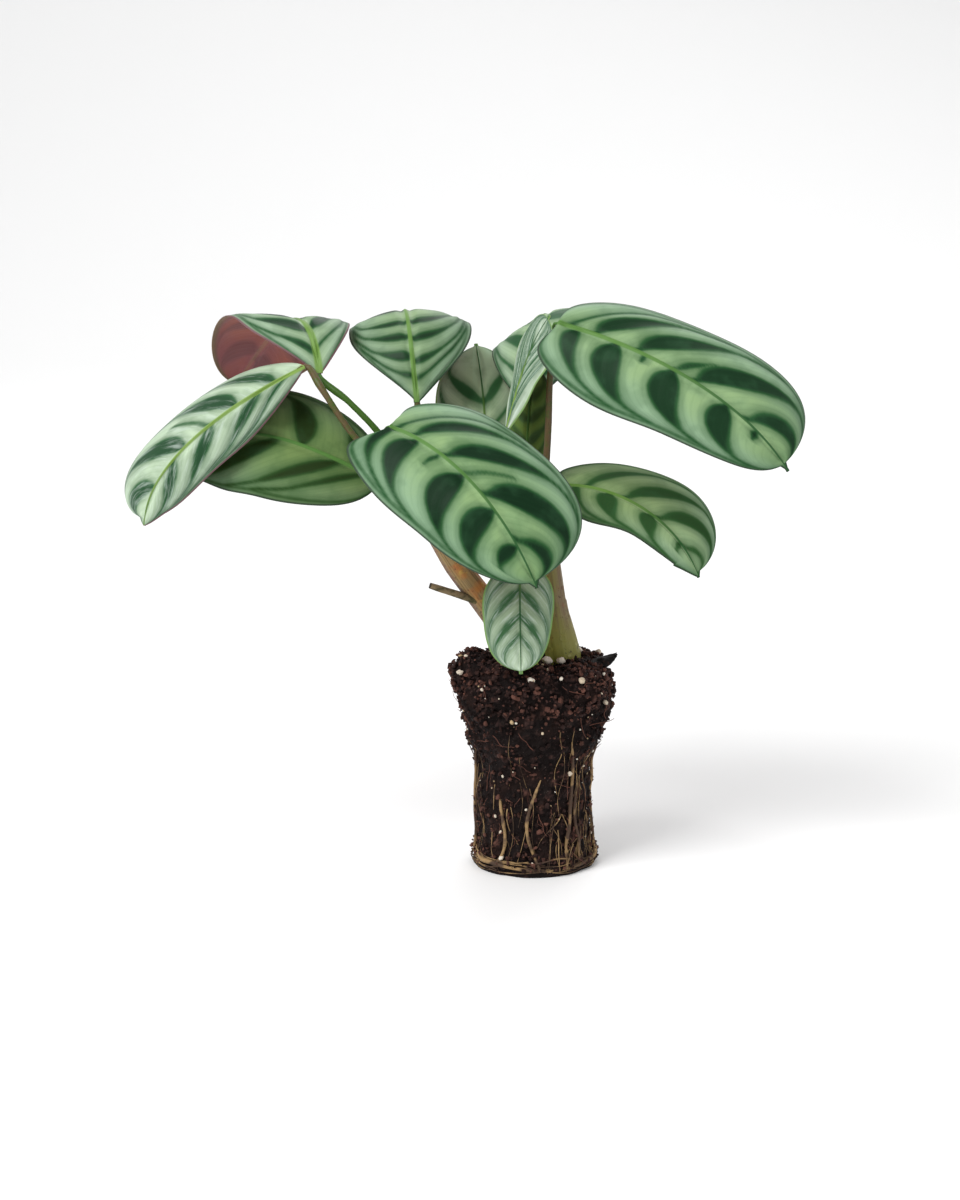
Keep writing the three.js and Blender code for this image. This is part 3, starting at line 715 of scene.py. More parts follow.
class Geometry(Nodes):
    """A Geometry Nodes tree while it is written. It is given a geometry, the inputs, each of which is
    (name, kind, value at the start), and the material that its result is painted with."""

    def __init__(self, name, inputs):
        super().__init__(bpy.data.node_groups.new(name, "GeometryNodeTree"))
        face = self.tree.interface
        for label, kind, start in (("Geometry", "Geometry", None), *inputs, ("Material", "Material", None)):
            socket = face.new_socket(label, in_out="INPUT", socket_type=f"NodeSocket{kind}")
            if start is not None:
                socket.default_value = start
        face.new_socket("Geometry", in_out="OUTPUT", socket_type="NodeSocketGeometry")
        source = self.tree.nodes.new("NodeGroupInput")
        self.given = {socket.name: Wire(self, socket) for socket in source.outputs if socket.name}

    def scaled(self, vector, scale):
        return self.node("ShaderNodeVectorMath", {"operation": "SCALE"}, {0: vector, "Scale": scale})

    def moved(self, geometry, direction, distance):
        sockets = {"Geometry": geometry, "Offset": self.scaled(direction, distance)}
        return self.node("GeometryNodeSetPosition", None, sockets)

    def roughened(self, geometry, scale, detail, depth):
        """The geometry with its surface moved in and out by grains of noise."""
        grain = self.node("ShaderNodeTexNoise", None, {"Scale": scale, "Detail": detail})
        return self.moved(geometry, self.node("GeometryNodeInputNormal"), (grain - 0.5) * depth)

    def random(self, seed, highest=None):
        """A number from 0 to 1 for each point, or three numbers from 0 to the highest."""
        if highest is None:
            return self.node("FunctionNodeRandomValue", {"data_type": "FLOAT"}, {"Seed": seed}, out=1)
        sockets = {"Max": (highest, highest, highest), "Seed": seed}
        return self.node("FunctionNodeRandomValue", {"data_type": "FLOAT_VECTOR"}, sockets)

    def realized(self, geometry):
        return self.node("GeometryNodeRealizeInstances", None, {0: geometry})

    def smoothed(self, geometry, smooth=True):
        return self.node("GeometryNodeSetShadeSmooth", None, {"Geometry": geometry, "Shade Smooth": smooth})

    def finish(self, geometry):
        """Paints the geometry with the given material and makes it the tree's result."""
        sockets = {"Geometry": geometry, "Material": self.given["Material"]}
        painted = self.node("GeometryNodeSetMaterial", None, sockets)
        self.link(painted, self.tree.nodes.new("NodeGroupOutput").inputs[0])
        return self.tree


def shade(name):
    return tuple(getattr(bpy.context.scene.plant_colours, name))


def scaled_shade(name, share):
    return tuple(share * value for value in shade(name))


# Linear colours of stains and specks, and of the painted shade in the soil's cracks, which a user wouldn't
# change.
STUB_STAIN = (0.05, 0.045, 0.02)
STUB_CUT = (0.03, 0.024, 0.018)
PAINTED_CRACK_SHADE = (0.002, 0.0015, 0.0015)
SOIL_RUST = (0.11, 0.045, 0.028)
SOIL_SPECK = (0.24, 0.19, 0.16)
ROOT_STAIN = (0.12, 0.07, 0.035)
BARK_DARK = (0.003, 0.0025, 0.0025)
BARK_BROWN = (0.03, 0.014, 0.01)


# leaf finishes


def leaf_upper(name, leaf):
    """The patterned upper face. UV leaf holds the place along and across the blade. UV band holds how
    far inside a dark band a point lies, in millimetres, and the count of bands. UV span holds the
    distance from the midrib in half widths of it, and from the margin in millimetres."""
    tone, olive, dark = leaf["tone"], leaf["olive"], leaf["dark"]
    f = Finish(name)
    along, across = f.uv("leaf")
    field, count = f.uv("band")
    from_rib, from_margin = f.uv("span")
    place = f.place()
    reach = abs(across * 2 - 1)
    mottle = f.grain(place, 150.0, detail=3.0)
    ragged = f.grain(place, 480.0, detail=3.0, roughness=0.6)
    inside = field + (ragged - 0.5) * 0.35
    band = f.step(inside, -0.5, 0.4)

    # Near the margin the pale green is partly the leaf's own colour and partly a painted reflection where
    # the curled margin catches the light.
    outer = f.step(reach, 0.2, 0.92)
    pale = f.blend("pale", "pale_outer_and_reflection", outer)
    yellow = f.step(mottle, 0.42, 0.66) * f.step(field, -0.6, -2.4) * (1 - outer * 0.8)
    pale = f.blend(pale, "pale_middle", yellow * 0.3)
    pale = f.blend(pale, "pale_light", tone)
    olive_here = olive if olive == 1 else f.step(along, 1.0, 0.35) * olive
    pale = f.blend(pale, "pale_olive", olive_here)
    pale = f.blend(pale, "band_edge", f.step(inside, -2.2, -0.1) * 0.4)
    if tone < 0.3:
        pale = f.blend(pale, "band_edge", f.step(along, 0.76, 1.0) * 0.35)
    hair = abs(f.math("FRACT", count * 7 + ragged * 0.2) - 0.5) * 2
    pale = f.blend(pale, "band_edge", f.step(hair, 0.5, 0.0) * 0.08)
    pale = f.blend(pale, "band_edge", f.step(mottle, 0.52, 0.36) * 0.2)
    deep = f.blend("band_edge", "band", f.step(inside, 0.0, 1.1) * dark)
    deep = f.blend(deep, "band_light", 0.35 * tone + 0.6 * (1 - dark))
    deep = f.blend(deep, scaled_shade("pale_olive", 0.35), olive * 0.6)
    flecks = f.step(mottle, 0.5, 0.72) * 0.16 + f.step(hair, 0.5, 0.0) * 0.02
    deep = f.blend(deep, "band_light", flecks)
    base = f.blend(pale, deep, band)
    # Painted reflection: on the lightest blades, whitish streaks of gloss laid into the colour along the
    # side veins.
    if tone > 0.45:
        streak = f.grain(f.vector(count * 8, reach * 2.5, 0.7), 1.0, detail=5.0, roughness=0.65)
        base = f.blend(base, "painted_glint", f.step(streak, 0.46, 0.74) * (0.8 * tone - 0.16))
    # Painted shade: the whole face is darkened on blades that lie in the shade of others.
    if leaf["painted_shade"]:
        base = f.blend(base, scaled_shade("pale_olive", 0.1), leaf["painted_shade"])
    edge = f.step(from_margin, 0.55, 0.2)
    base = f.blend(base, leaf["margin"], edge * 0.85)

    rib = f.step(from_rib, 1.2, 0.6)
    rib_light = f.blend("midrib", "midrib_light", tone * 1.4 if tone < 0.7 else 1.0)
    light_end = leaf["pale_rib"]
    rib_colour = f.blend(rib_light, "midrib_tip", f.step(along, light_end - 0.65, light_end))
    base = f.blend(base, rib_colour, rib * 0.9)

    grooves = f.step(hair, 0.6, 0.0) * f.step(from_rib, 1.0, 2.5) * (1 - band * 0.7)
    skin = f.cells(place, 2600.0)
    height = grooves * -0.18 + skin * 0.14 + rib * 0.5
    return f.finish(
        Base_Color=base, Roughness=0.42 + mottle * 0.16, Normal=f.bumped(height, 0.00012, 0.55),
        Coat_Weight=0.12 * tone, Coat_Roughness=0.25, Specular_IOR_Level=leaf["gloss"],
    )


def leaf_underside(name):
    f = Finish(name)
    along, across = f.uv("leaf")
    field, count = f.uv("band")
    from_rib, from_margin = f.uv("span")
    mottle = f.grain(f.place(), 70.0, detail=3.0)
    # Painted glow: warm patches where light comes through the blade.
    base = f.blend("underside", "underside_warm", f.step(mottle, 0.42, 0.66) * 0.7)
    base = f.blend(base, scaled_shade("underside", 0.6), f.step(field, -0.8, 0.8) * 0.75)
    hair = abs(f.math("FRACT", count * 9) - 0.5) * 2
    base = f.blend(base, scaled_shade("underside", 1.3), f.step(hair, 0.35, 0.0) * 0.1)
    base = f.blend(base, "margin_under", f.step(from_margin, 2.2, 0.2) * 0.6)
    base = f.blend(base, "midrib_under", f.step(from_rib, 1.3, 0.7) * (1 - along * 0.6) * 0.4)
    height = f.step(hair, 0.5, 0.0) * 0.5 + mottle * 0.4
    return f.finish(
        Base_Color=base, Roughness=0.5 + mottle * 0.14, Normal=f.bumped(height, 0.00012, 0.4),
        Sheen_Weight=0.1,
    )


# leaf blades


def half_width(along, halves, tail_half, tail_fullness):
    e = 2 * np.minimum(along / BODY_END, 1) - 1
    fullness = np.where(e > 0, TIP_FULLNESS, BASE_FULLNESS)
    body = np.sqrt(np.maximum(1 - np.abs(e) ** fullness, 0)) * bezier(halves, along)
    left_over = np.clip((1 - along) / (1 - TAIL_START), 0, None)
    tail = np.where(along > TAIL_START, tail_half * left_over**tail_fullness, 0)
    return np.maximum.reduce([body, tail, STALK_HALF * (1 - along), np.full_like(along, TIP_HALF)])


def rib_line(leaf, along):
    """Points of the midrib at shares of its length, its direction there, and its length."""
    t = np.linspace(0, 1, 600)
    line = bezier(leaf["rib"], t[:, None])
    reached = np.concatenate([[0], np.cumsum(np.linalg.norm(np.diff(line, axis=0), axis=1))])
    at = np.interp(along * reached[-1], reached, t)[:, None]
    a, b, c, d = (np.array(point, float) for point in leaf["rib"])
    s = 1 - at
    direction = s * s * (b - a) + 2 * s * at * (c - b) + at * at * (d - c)
    return bezier(leaf["rib"], at), unit(direction), reached[-1]


def blade_axes(leaf, along):
    """Points of the midrib, with the directions forward, to the right and up there."""
    centre, forward, _ = rib_line(leaf, along)
    start, end = (np.array(direction, float) for direction in leaf["right"])
    right = start + (end - start) * along[:, None]
    right = unit(right - forward * (right * forward).sum(1, keepdims=True))
    return centre, forward, right, np.cross(right, forward)


# How far forward a side vein has run at a share of the way to the margin, in shares of the midrib, is
# the half's lean and curl, a last bend, and a turn that lays it along the margin. The lean is the one
# that the blade's entry gives at this share of the midrib's length.
VEIN_LEAN_MIDDLE = 0.45
VEIN_END_SWEEP = 0.05
VEIN_TURN = {"start": 0.74, "width": 0.18, "sweep": 0.07}
# The line that the side veins run into, as a share of the way to the margin, and its half width.
RIM_LINE = 0.92
RIM_LINE_HALF = 0.3
# A band's body, as shares of its width behind and ahead of its vein, and the share of the way to the
# margin where a full one ends.
BAND_BEHIND = 0.55
BAND_AHEAD = 0.5
BAND_SPAN = 0.95
# The dark line that runs on along a band's vein: its half width, and what it gains at the midrib.
BAND_TAIL_HALF = 0.42
BAND_ROOT_HALF = 0.35
# A short band's line: its half width, and how far inside the dark its middle counts.
STROKE_HALF = 0.55
STROKE_CREST = 0.15
# How fast a band gives way past its end, in millimetres over the whole way to the margin.
FADE_PAST_END = 40
# Half the midrib's width at the base and at the tip, for a blade of this length in millimetres.
RIB_HALF = (0.9, 0.22)
RIB_BLADE_LENGTH = 95


def vein_sweep(reach, lean, curl):
    """How far forward a side vein has run, and how fast it runs forward."""
    turn = np.clip((reach - VEIN_TURN["start"]) / VEIN_TURN["width"], 0, None)
    terms = ((lean, 1), (curl, 3), (VEIN_END_SWEEP, 7))
    sweep = sum(share * reach**power for share, power in terms) + VEIN_TURN["sweep"] * turn**2
    rate = sum(share * power * reach ** (power - 1) for share, power in terms)
    return sweep, rate + 2 * VEIN_TURN["sweep"] * turn / VEIN_TURN["width"]


def lens(share, rise, fall):
    """0 at both ends and 1 at its fullest place, which the two powers set."""
    share = np.clip(share, 1e-6, 1)
    peak = rise / (rise + fall)
    return share**rise * (1 - share) ** fall / (peak**rise * (1 - peak) ** fall)


def band_field(leaf, part, places, rate, reach, half, length):
    """How far inside the dark bands a point lies, in millimetres: below 0 is outside."""
    slope = np.sqrt(1 + (rate * length / np.maximum(half, 1)) ** 2)
    rim = leaf["rim"]
    rise, fall = leaf["rise"][part], leaf["fall"][part]
    field = RIM_LINE_HALF * rim - np.abs(reach - RIM_LINE) * half - (2 if rim == 0 else 0)
    for place, width, *span in leaf["right_bands" if part else "left_bands"]:
        share = reach / (span[0] if span else BAND_SPAN)
        gap = places - place
        full = width * lens(share, rise, fall)
        behind, ahead = BAND_BEHIND * full, BAND_AHEAD * full
        body = np.minimum(gap + behind, ahead - gap) * length / slope
        thickness = BAND_TAIL_HALF + BAND_ROOT_HALF * np.exp(-reach / 0.12)
        if span:
            thickness = STROKE_HALF * (1 - 0.3 * share)
        tail = thickness - np.abs(gap) * length / slope
        if span:
            tail = np.minimum(tail, STROKE_CREST)
        past_end = np.clip(reach - (span[0] if span else RIM_LINE), 0, None)
        field = np.maximum(field, np.maximum(body, tail) - FADE_PAST_END * past_end)
    return np.clip(field, -4, 4)


def band_count(places, bands):
    """Turns a place on the midrib into a count of bands that is whole at each band's middle."""
    bands = [place for place, _, *span in bands if not span or span[0] > 0.55]
    spots = np.concatenate([[bands[0] - 0.25], bands, [bands[-1] + 0.25]])
    return np.interp(places, spots, np.arange(len(bands) + 2))


def blade_faces(leaf, sizes):
    """Points of the upper face, the directions it faces, and each half's values for its finish."""
    length = rib_line(leaf, np.zeros(1))[2]
    rows = round(length / leaf["step"])
    s = np.linspace(0, 1, rows)
    along = 0.35 * s + 0.65 * (1 - np.cos(np.pi * s)) / 2
    across = np.linspace(-1, 1, BLADE_COLUMNS[length < SHORT_BLADE] + 1)
    across = np.sign(across) * (0.75 * np.abs(across) + 0.25 * np.sin(np.abs(across) * np.pi / 2))
    centre, forward, right, up = blade_axes(leaf, along)
    upper = np.zeros((rows, len(across), 3))
    faces = np.zeros_like(upper)
    halves = []
    for part, picked in ((0, across <= 0), (1, across >= 0)):
        side = 1 if part else -1
        reach = np.abs(across[picked])[None, :]
        u = along[:, None]
        half = half_width(along, leaf["half"][part], *leaf["tail"])[:, None]
        arch, fold = leaf["arch"][part], leaf["fold"][part]
        flat_x = np.sin(arch * reach) / arch
        flat_n = -(1 - np.cos(arch * reach)) / arch
        x = flat_x * math.cos(fold) - flat_n * math.sin(fold)
        n = flat_x * math.sin(fold) + flat_n * math.cos(fold)
        wave = leaf["wave"] * reach**2 * np.sin(4 * np.pi * u + 2 * part) * np.sin(np.pi * u)
        lobe_back = (1 - np.exp(-u / LOBE_START)) * (1 - u) ** 4
        back = leaf["lobe"][part] * reach**1.5 * lobe_back
        bands = leaf["right_bands" if part else "left_bands"]
        lean = leaf["sweep"][part] + leaf["growth"][part] * (u - VEIN_LEAN_MIDDLE)
        sweep, rate = vein_sweep(reach, lean, leaf["curl"][part])
        places = u - sweep
        count = band_count(places, bands)
        rib_half = RIB_HALF[0] + (RIB_HALF[1] - RIB_HALF[0]) * u
        rib_half = rib_half * (length / RIB_BLADE_LENGTH) ** 0.5 * leaf["midrib"]
        halves.append({
            "band": (band_field(leaf, part, places, rate, reach, half, length), count),
            "span": (reach * half / rib_half, (1 - reach) * half),
        })
        quilt = quilting(count, reach, half) * sizes.quilt_depth / MM
        point = (centre[:, None] + right[:, None] * (side * half * x)[..., None]
                 + up[:, None] * (half * n + wave)[..., None] - forward[:, None] * back[..., None])
        tilt = fold - arch * reach
        face = (up[:, None] * np.cos(tilt)[..., None]
                - right[:, None] * (side * np.sin(tilt))[..., None])
        upper[:, picked] = point + face * quilt[..., None]
        faces[:, picked] = face
    faces[:, len(across) // 2] = up
    return along, across, upper, faces, halves


def quilting(count, reach, half):
    """How far the upper face stands up, in shares of the quilting depth: it sinks along the side
    veins and beside the midrib, and lies flat where the blade is narrow and at its margin."""
    fine = 0.5 + 0.5 * np.cos(2 * np.pi * count * 4)
    broad = 0.5 + 0.5 * np.cos(2 * np.pi * (count - 0.5))
    inside = smoothstep(0.02, 0.2, reach) * (1 - smoothstep(0.75, 0.98, reach))
    groove = -1.6 * bump(reach - 0.07, 0.05) + 0.5 * bump(reach, 0.035)
    return ((0.14 * fine + 1.1 * broad) * inside + groove) * smoothstep(1.5, 6, half)


def corner_pairs(quads, along, across, halves):
    """The UV pairs at the corners of a blade's quads."""
    columns = len(across)
    row, column = quads // columns, quads % columns
    middle = columns // 2
    layers = {"leaf": np.stack([along[row], (across[column] + 1) / 2], axis=-1)}
    on_left = column.min(axis=1) < middle
    for layer in ("band", "span"):
        pairs = np.zeros(quads.shape + (2,))
        for part, chosen in ((0, on_left), (1, ~on_left)):
            inner = column[chosen] - (middle if part else 0)
            for k in range(2):
                pairs[chosen, :, k] = halves[part][layer][k][row[chosen], inner]
        layers[layer] = pairs
    return {layer: pairs.reshape(-1, 2) for layer, pairs in layers.items()}


def blade_piece(name, leaf, sizes, materials):
    along, across, upper, faces, halves = blade_faces(leaf, sizes)
    rows, columns = upper.shape[:2]
    ridge = MIDRIB_RISE * bump(across[None, :], MIDRIB_SPREAD * 0.6) * (1 - 0.8 * along[:, None])
    thin = 1 - 0.35 * smoothstep(0.8, 1, np.abs(across))[None, :]
    thickness = sizes.blade_thickness / MM * thin + ridge
    lower = upper - faces * thickness[..., None]
    quads = grid_faces(rows, columns)
    under = rows * columns
    border = np.concatenate([
        np.arange(columns), np.arange(1, rows) * columns + columns - 1,
        (rows - 1) * columns + np.arange(columns - 2, -1, -1), np.arange(rows - 2, 0, -1) * columns,
    ])
    flat_upper, flat_lower = upper.reshape(-1, 3), lower.reshape(-1, 3)
    rim_middle = (flat_upper[border] + flat_lower[border]) / 2
    inner = flat_upper.mean(axis=0)
    outward = np.cross(np.roll(rim_middle, -1, axis=0) - np.roll(rim_middle, 1, axis=0),
                       faces.reshape(-1, 3)[border])
    outward = unit(outward + 1e-9)
    if ((rim_middle - inner) * outward).sum() < 0:
        outward = -outward
    rim_middle = rim_middle + 0.1 * outward
    points = np.concatenate([flat_upper, flat_lower, rim_middle])
    k = np.arange(len(border))
    after = (k + 1) % len(border)
    rim = 2 * under
    upper_rim = np.stack([border[k], rim + k, rim + after, border[after]], axis=1)
    lower_rim = np.stack([rim + k, under + border[k], under + border[after], rim + after], axis=1)
    faces_all = np.concatenate([quads, quads[:, ::-1] + under, upper_rim, lower_rim])
    edge_place = np.stack([along[border // columns], (across[border % columns] + 1) / 2], axis=1)
    rim_pairs = {
        "leaf": edge_place[np.stack([k, k, after, after], axis=1)].reshape(-1, 2),
        "band": np.tile([-1, 0.5], (4 * len(k), 1)), "span": np.tile([20, 0], (4 * len(k), 1)),
    }
    face_pairs = corner_pairs(quads, along, across, halves)
    back_pairs = corner_pairs(quads[:, ::-1], along, across, halves)
    uvs = {
        layer: np.concatenate([face_pairs[layer], back_pairs[layer], pairs, pairs])
        for layer, pairs in rim_pairs.items()
    }
    shown = np.concatenate([np.zeros(len(quads)), np.ones(len(quads)), np.zeros(len(k)), np.ones(len(k))])
    piece = new_piece(name, points, faces_all, materials, shown, uvs)
    piece.data.set_sharp_from_angle(angle=math.radians(70))
    return piece


# shoots


def stalk_end(leaf):
    """Where a stalk ends in the solids: just behind and below its blade's base."""
    centre, forward, _, up = blade_axes(leaf, np.zeros(1))
    return (centre - STALK_SETBACK * forward - STALK_DROP * SOLID_THICKNESS * up)[0]


def tube_tree():
    """Geometry Nodes: rounds a set of paths into tubes, roughens them and closes their ends. The tree
    is made once and used for all tubes."""
    name = "tubes along paths"
    if name in bpy.data.node_groups:
        return bpy.data.node_groups[name]
    inputs = (("Sides", "Int", 10), ("Roughening", "Float", 0.0), ("Grain", "Float", 900.0))
    g = Geometry(name, inputs)
    line = g.node("GeometryNodeMeshToCurve", None, {0: g.given["Geometry"]})
    radius = g.node("GeometryNodeInputNamedAttribute", None, {"Name": "path_radius"}, out="Attribute")
    line = g.node("GeometryNodeSetCurveRadius", None, {"Curve": line, "Radius": radius})
    circle = g.node(
        "GeometryNodeCurvePrimitiveCircle", None, {"Resolution": g.given["Sides"], "Radius": 1.0})
    tube = g.node("GeometryNodeCurveToMesh", None, {
        "Curve": line, "Profile Curve": circle, "Scale": g.node("GeometryNodeInputRadius"),
        "Fill Caps": True,
    })
    tube = g.roughened(tube, g.given["Grain"], 2.0, g.given["Roughening"])
    return g.finish(g.realized(g.smoothed(tube)))


def paths_piece(name, paths, settings):
    """Tubes along paths. Each path is (points, radii, kind); kind, a number or one for each point, is
    kept as the attribute kind, and the share of the way along the path as the attribute share."""
    points, edges, radii, kinds, shares = [], [], [], [], []
    for line, line_radii, kind in paths:
        first = len(points)
        points.extend(line)
        radii.extend(np.asarray(line_radii) * MM)
        kinds.extend(np.broadcast_to(kind, len(line)))
        shares.extend(np.linspace(0, 1, len(line)))
        edges.extend((first + k, first + k + 1) for k in range(len(line) - 1))
    mesh = bpy.data.meshes.new(name)
    mesh.from_pydata((np.asarray(points) * MM).tolist(), edges, [])
    keep_values(mesh, {"path_radius": radii, "kind": kinds, "share": shares})
    return bake_nodes(placed(name, mesh), tube_tree(), settings)


def sheath_piece(name, shoot, material):
    """A rolled sheath: a tapering tube with lengthwise ribs and the overlapping edges of its leaves."""
    path = smooth_path(shoot["sheath"], SHEATH_ROWS)
    normals, binormals = carried_frames(path)
    share = np.linspace(0, 1, SHEATH_ROWS)[:, None]
    angle = np.linspace(0, 2 * np.pi, SHEATH_SIDES, endpoint=False)[None, :]
    radius = spread_values(shoot["radii"], share[:, 0])[:, None]
    swing = angle + 0.8 * share
    edge_one = ((swing - 1.2) % (2 * np.pi)) / (2 * np.pi)
    edge_two = ((swing - 4.1 + share) % (2 * np.pi)) / (2 * np.pi)
    lap = 0.1 * (edge_one - 0.5) + 0.09 * (edge_two - 0.5)
    lines = 0.016 * np.sin(swing * 13) + 0.012 * np.sin(swing * 21 + 2)
    flat = 1 + 0.05 * np.cos(2 * (angle - 0.6))
    close = np.sqrt(np.clip(1 - np.clip((share - 0.985) / 0.015, 0, 1) ** 2, 0.02, 1))
    reach = radius * (flat + (lap + lines) * smoothstep(0.0, 0.2, share)) * close
    points = (path[:, None] + normals[:, None] * (reach * np.cos(angle))[..., None]
              + binormals[:, None] * (reach * np.sin(angle))[..., None])
    points, faces = closed_skin(points, path[0], path[-1])
    shares = np.concatenate([np.repeat(share[:, 0], SHEATH_SIDES), [0, 1]])
    sides = {
        layer: np.concatenate([np.tile(turn(angle[0]), SHEATH_ROWS), [0, 0]])
        for layer, turn in (("side_x", np.cos), ("side_y", np.sin))
    }
    return new_piece(name, points, faces, [material], attributes={"share": shares, **sides})


def sheath_finish(name, main, speckles, warm, edge):
    """A sheath's skin: the colour main with lengthwise streaks, a pale swollen foot with rings, and
    reddish speckles. warm is how strongly orange patches show through, and edge, 1 or -1, is the side
    that is greyish, on the left or on the right."""
    f = Finish(name)
    share, side_x, side_y = (f.attribute(layer) for layer in ("share", "side_x", "side_y"))
    place = f.place()
    streak = f.grain(f.vector(side_x * 6, side_y * 6, share * 2.0), 1.0, detail=4.0, roughness=0.6)
    mottle = f.grain(place, 420.0, detail=4.0, roughness=0.6)
    patch = f.grain(place, 190.0, detail=2.0)
    base = f.blend(main, "sheath_shadow", f.step(streak, 0.44, 0.62) * 0.55)
    grey = f.step(side_x * edge + (patch - 0.5) * 1.2, 0.3, 0.95)
    base = f.blend(base, "sheath_mauve", grey * (0.3 + 0.6 * warm))
    inner = f.step(side_x * edge, 0.5, -0.3)
    base = f.blend(base, "sheath_warm", f.step(patch, 0.42, 0.58) * inner * warm)
    base = f.blend(base, "speckle", f.step(mottle, 0.52, 0.66) * f.step(patch, 0.4, 0.6) * speckles)
    base = f.blend(base, "sheath_yellow", f.step(mottle, 0.46, 0.32) * inner * warm)
    foot = f.step(share, 0.5, 0.28)
    base = f.blend(base, "sheath_foot", foot * 0.8)
    spots = f.cells(place, 420.0)
    ring = f.step(abs(spots - 0.3), 0.09, 0.03) * foot
    base = f.blend(base, "sheath_ring", ring * f.step(patch, 0.46, 0.56) * 0.6)
    dots = f.step(f.grain(place, 1300.0, detail=2.0), 0.6, 0.68) * f.step(patch, 0.4, 0.56)
    base = f.blend(base, scaled_shade("sheath_shadow", 0.35), dots * 0.7)
    height = streak * 0.8 + mottle * 0.3 + ring * 0.5
    return f.finish(
        Base_Color=base, Roughness=0.42 + mottle * 0.2, Normal=f.bumped(height, 0.0003, 0.7),
        Coat_Weight=0.05, Coat_Roughness=0.3, Specular_IOR_Level=0.3,
    )


def stalk_finish():
    """Leaf stalks: attribute kind runs from 0, green, to 1, brown; 2 is the dry stub."""
    f = Finish("leaf stalk")
    kind, share = f.attribute("kind"), f.attribute("share")
    place = f.place()
    mottle = f.grain(place, 500.0, detail=4.0, roughness=0.6)
    fine = f.grain(place, 1800.0, detail=2.0)
    brown = f.math("MINIMUM", kind, 1.0)
    base = f.blend("stalk_green", "stalk_brown", brown * f.step(mottle, 0.2, 0.6))
    base = f.blend(base, scaled_shade("stalk_brown", 0.45), f.step(fine, 0.6, 0.72) * 0.5 * brown)
    base = f.blend(base, "stalk_brown", f.step(share, 0.9, 0.97) * f.step(kind, 0.02, 0.1) * 0.6)
    base = f.blend(base, "midrib", f.step(share, 0.93, 0.97) * f.step(kind, 0.08, 0.02) * 0.8)
    dry = f.step(kind, 1.4, 1.6)
    stub = f.blend("stub", STUB_STAIN, f.step(mottle, 0.42, 0.58) * 0.85)
    stub = f.blend(stub, "stalk_green", f.step(share, 0.5, 0.1) * 0.4)
    stub = f.blend(stub, STUB_CUT, f.step(share, 0.97, 0.995))
    base = f.blend(base, stub, dry)
    return f.finish(
        Base_Color=base, Roughness=0.42 + dry * 0.35 + mottle * 0.1,
        Normal=f.bumped(mottle + fine * 0.4, 0.0002, 0.5), Specular_IOR_Level=0.25,
    )


# soil and roots


def plug_radius(angle, z):
    flare = smoothstep(FLARE_FROM, FLARE_TO, z)
    shape = (FOOT_RADIUS + bump(z - 2, 3) + HEAD_FLARE * flare
             + CELL_RIM * bump(z - CELL_RIM_HEIGHT, 2.5) - 1.2 * bump(z - PLUG_HEIGHT - 0.5, 2))
    lumps = (0.55 * np.sin(3 * angle + 0.21 * z + 0.6) + 0.45 * np.sin(5 * angle - 0.33 * z + 2.1)
             + 0.35 * np.sin(9 * angle + 0.5 * z + 4) + 0.3 * np.sin(14 * angle - 0.9 * z + 1.3))
    return shape + lumps * (0.45 + 0.95 * flare) * smoothstep(-6, 4, z)


def top_height(x, y):
    lump = HEAD_LUMP["height"] * bump(np.hypot(x - HEAD_LUMP["x"], y - HEAD_LUMP["y"]), HEAD_LUMP["spread"])
    mound = 1.2 * bump(np.hypot(x, y) - 13, 5)
    return PLUG_HEIGHT + lump + mound + 0.45 * np.sin(0.7 * x + 1) + 0.4 * np.sin(0.9 * y + 0.4 * x + 2)


def plug_grid(sides, wall_rows, top_rows):
    """Rings of points from the plug's foot up its wall and in over its top, with outward directions."""
    angle = np.linspace(0, 2 * np.pi, sides, endpoint=False)[None, :]
    z = np.linspace(0, WALL_TOP, wall_rows)[:, None]
    radius = plug_radius(angle, z)
    wall = around(angle, radius, z)
    share = np.linspace(0.985, 0.03, top_rows)[:, None]
    rim = plug_radius(angle, np.full((1, 1), float(WALL_TOP)))
    x, y = rim * share * np.cos(angle), rim * share * np.sin(angle)
    blend = smoothstep(1, 0.9, share)
    top = np.stack([x, y, WALL_TOP + (top_height(x, y) - WALL_TOP) * blend], axis=-1)
    grid = np.concatenate([wall, top])
    sideways = np.roll(grid, -1, axis=1) - np.roll(grid, 1, axis=1)
    return grid, unit(np.cross(sideways, np.gradient(grid, axis=0)))


def crumble(point, scale, seed):
    """Rounded granules: high in the middle of each cell and low in the cracks between them."""
    nearest = noise.voronoi(Vector(point) * scale + Vector((seed, 0, 0)))[0]
    return min(nearest[1] - nearest[0], 0.6)


def soil_piece(material):
    grid, outward = plug_grid(PLUG_SIDES, PLUG_WALL_ROWS, PLUG_TOP_ROWS)
    points, directions = grid.reshape(-1, 3), outward.reshape(-1, 3)
    lift = np.zeros(len(points))
    for k, point in enumerate(points):
        coarse = crumble(point, 0.3, 3) - 0.35
        middle = crumble(point, 0.72, 9) - 0.3
        fine = noise.fractal(Vector(point) * 1.6, 0.7, 2.1, 3)
        small = crumble(point, 1.5, 5) - 0.3
        lift[k] = 1.4 * coarse + 0.9 * middle + 0.4 * small + 0.3 * fine - 0.4
    height = points[:, 2]
    loose = 0.62 + 0.38 * smoothstep(26, 44, height)
    calm = smoothstep(0.2, 2.5, height)
    points = points + directions * (lift * loose * calm)[:, None]
    points[:, 2] = np.maximum(points[:, 2], 0)
    points, faces = closed_skin(points.reshape(grid.shape), foot=(0, 0, 0))
    lifts = np.concatenate([lift, [0, 0]])
    return new_piece("soil", points, faces, [material], attributes={"lift": lifts})


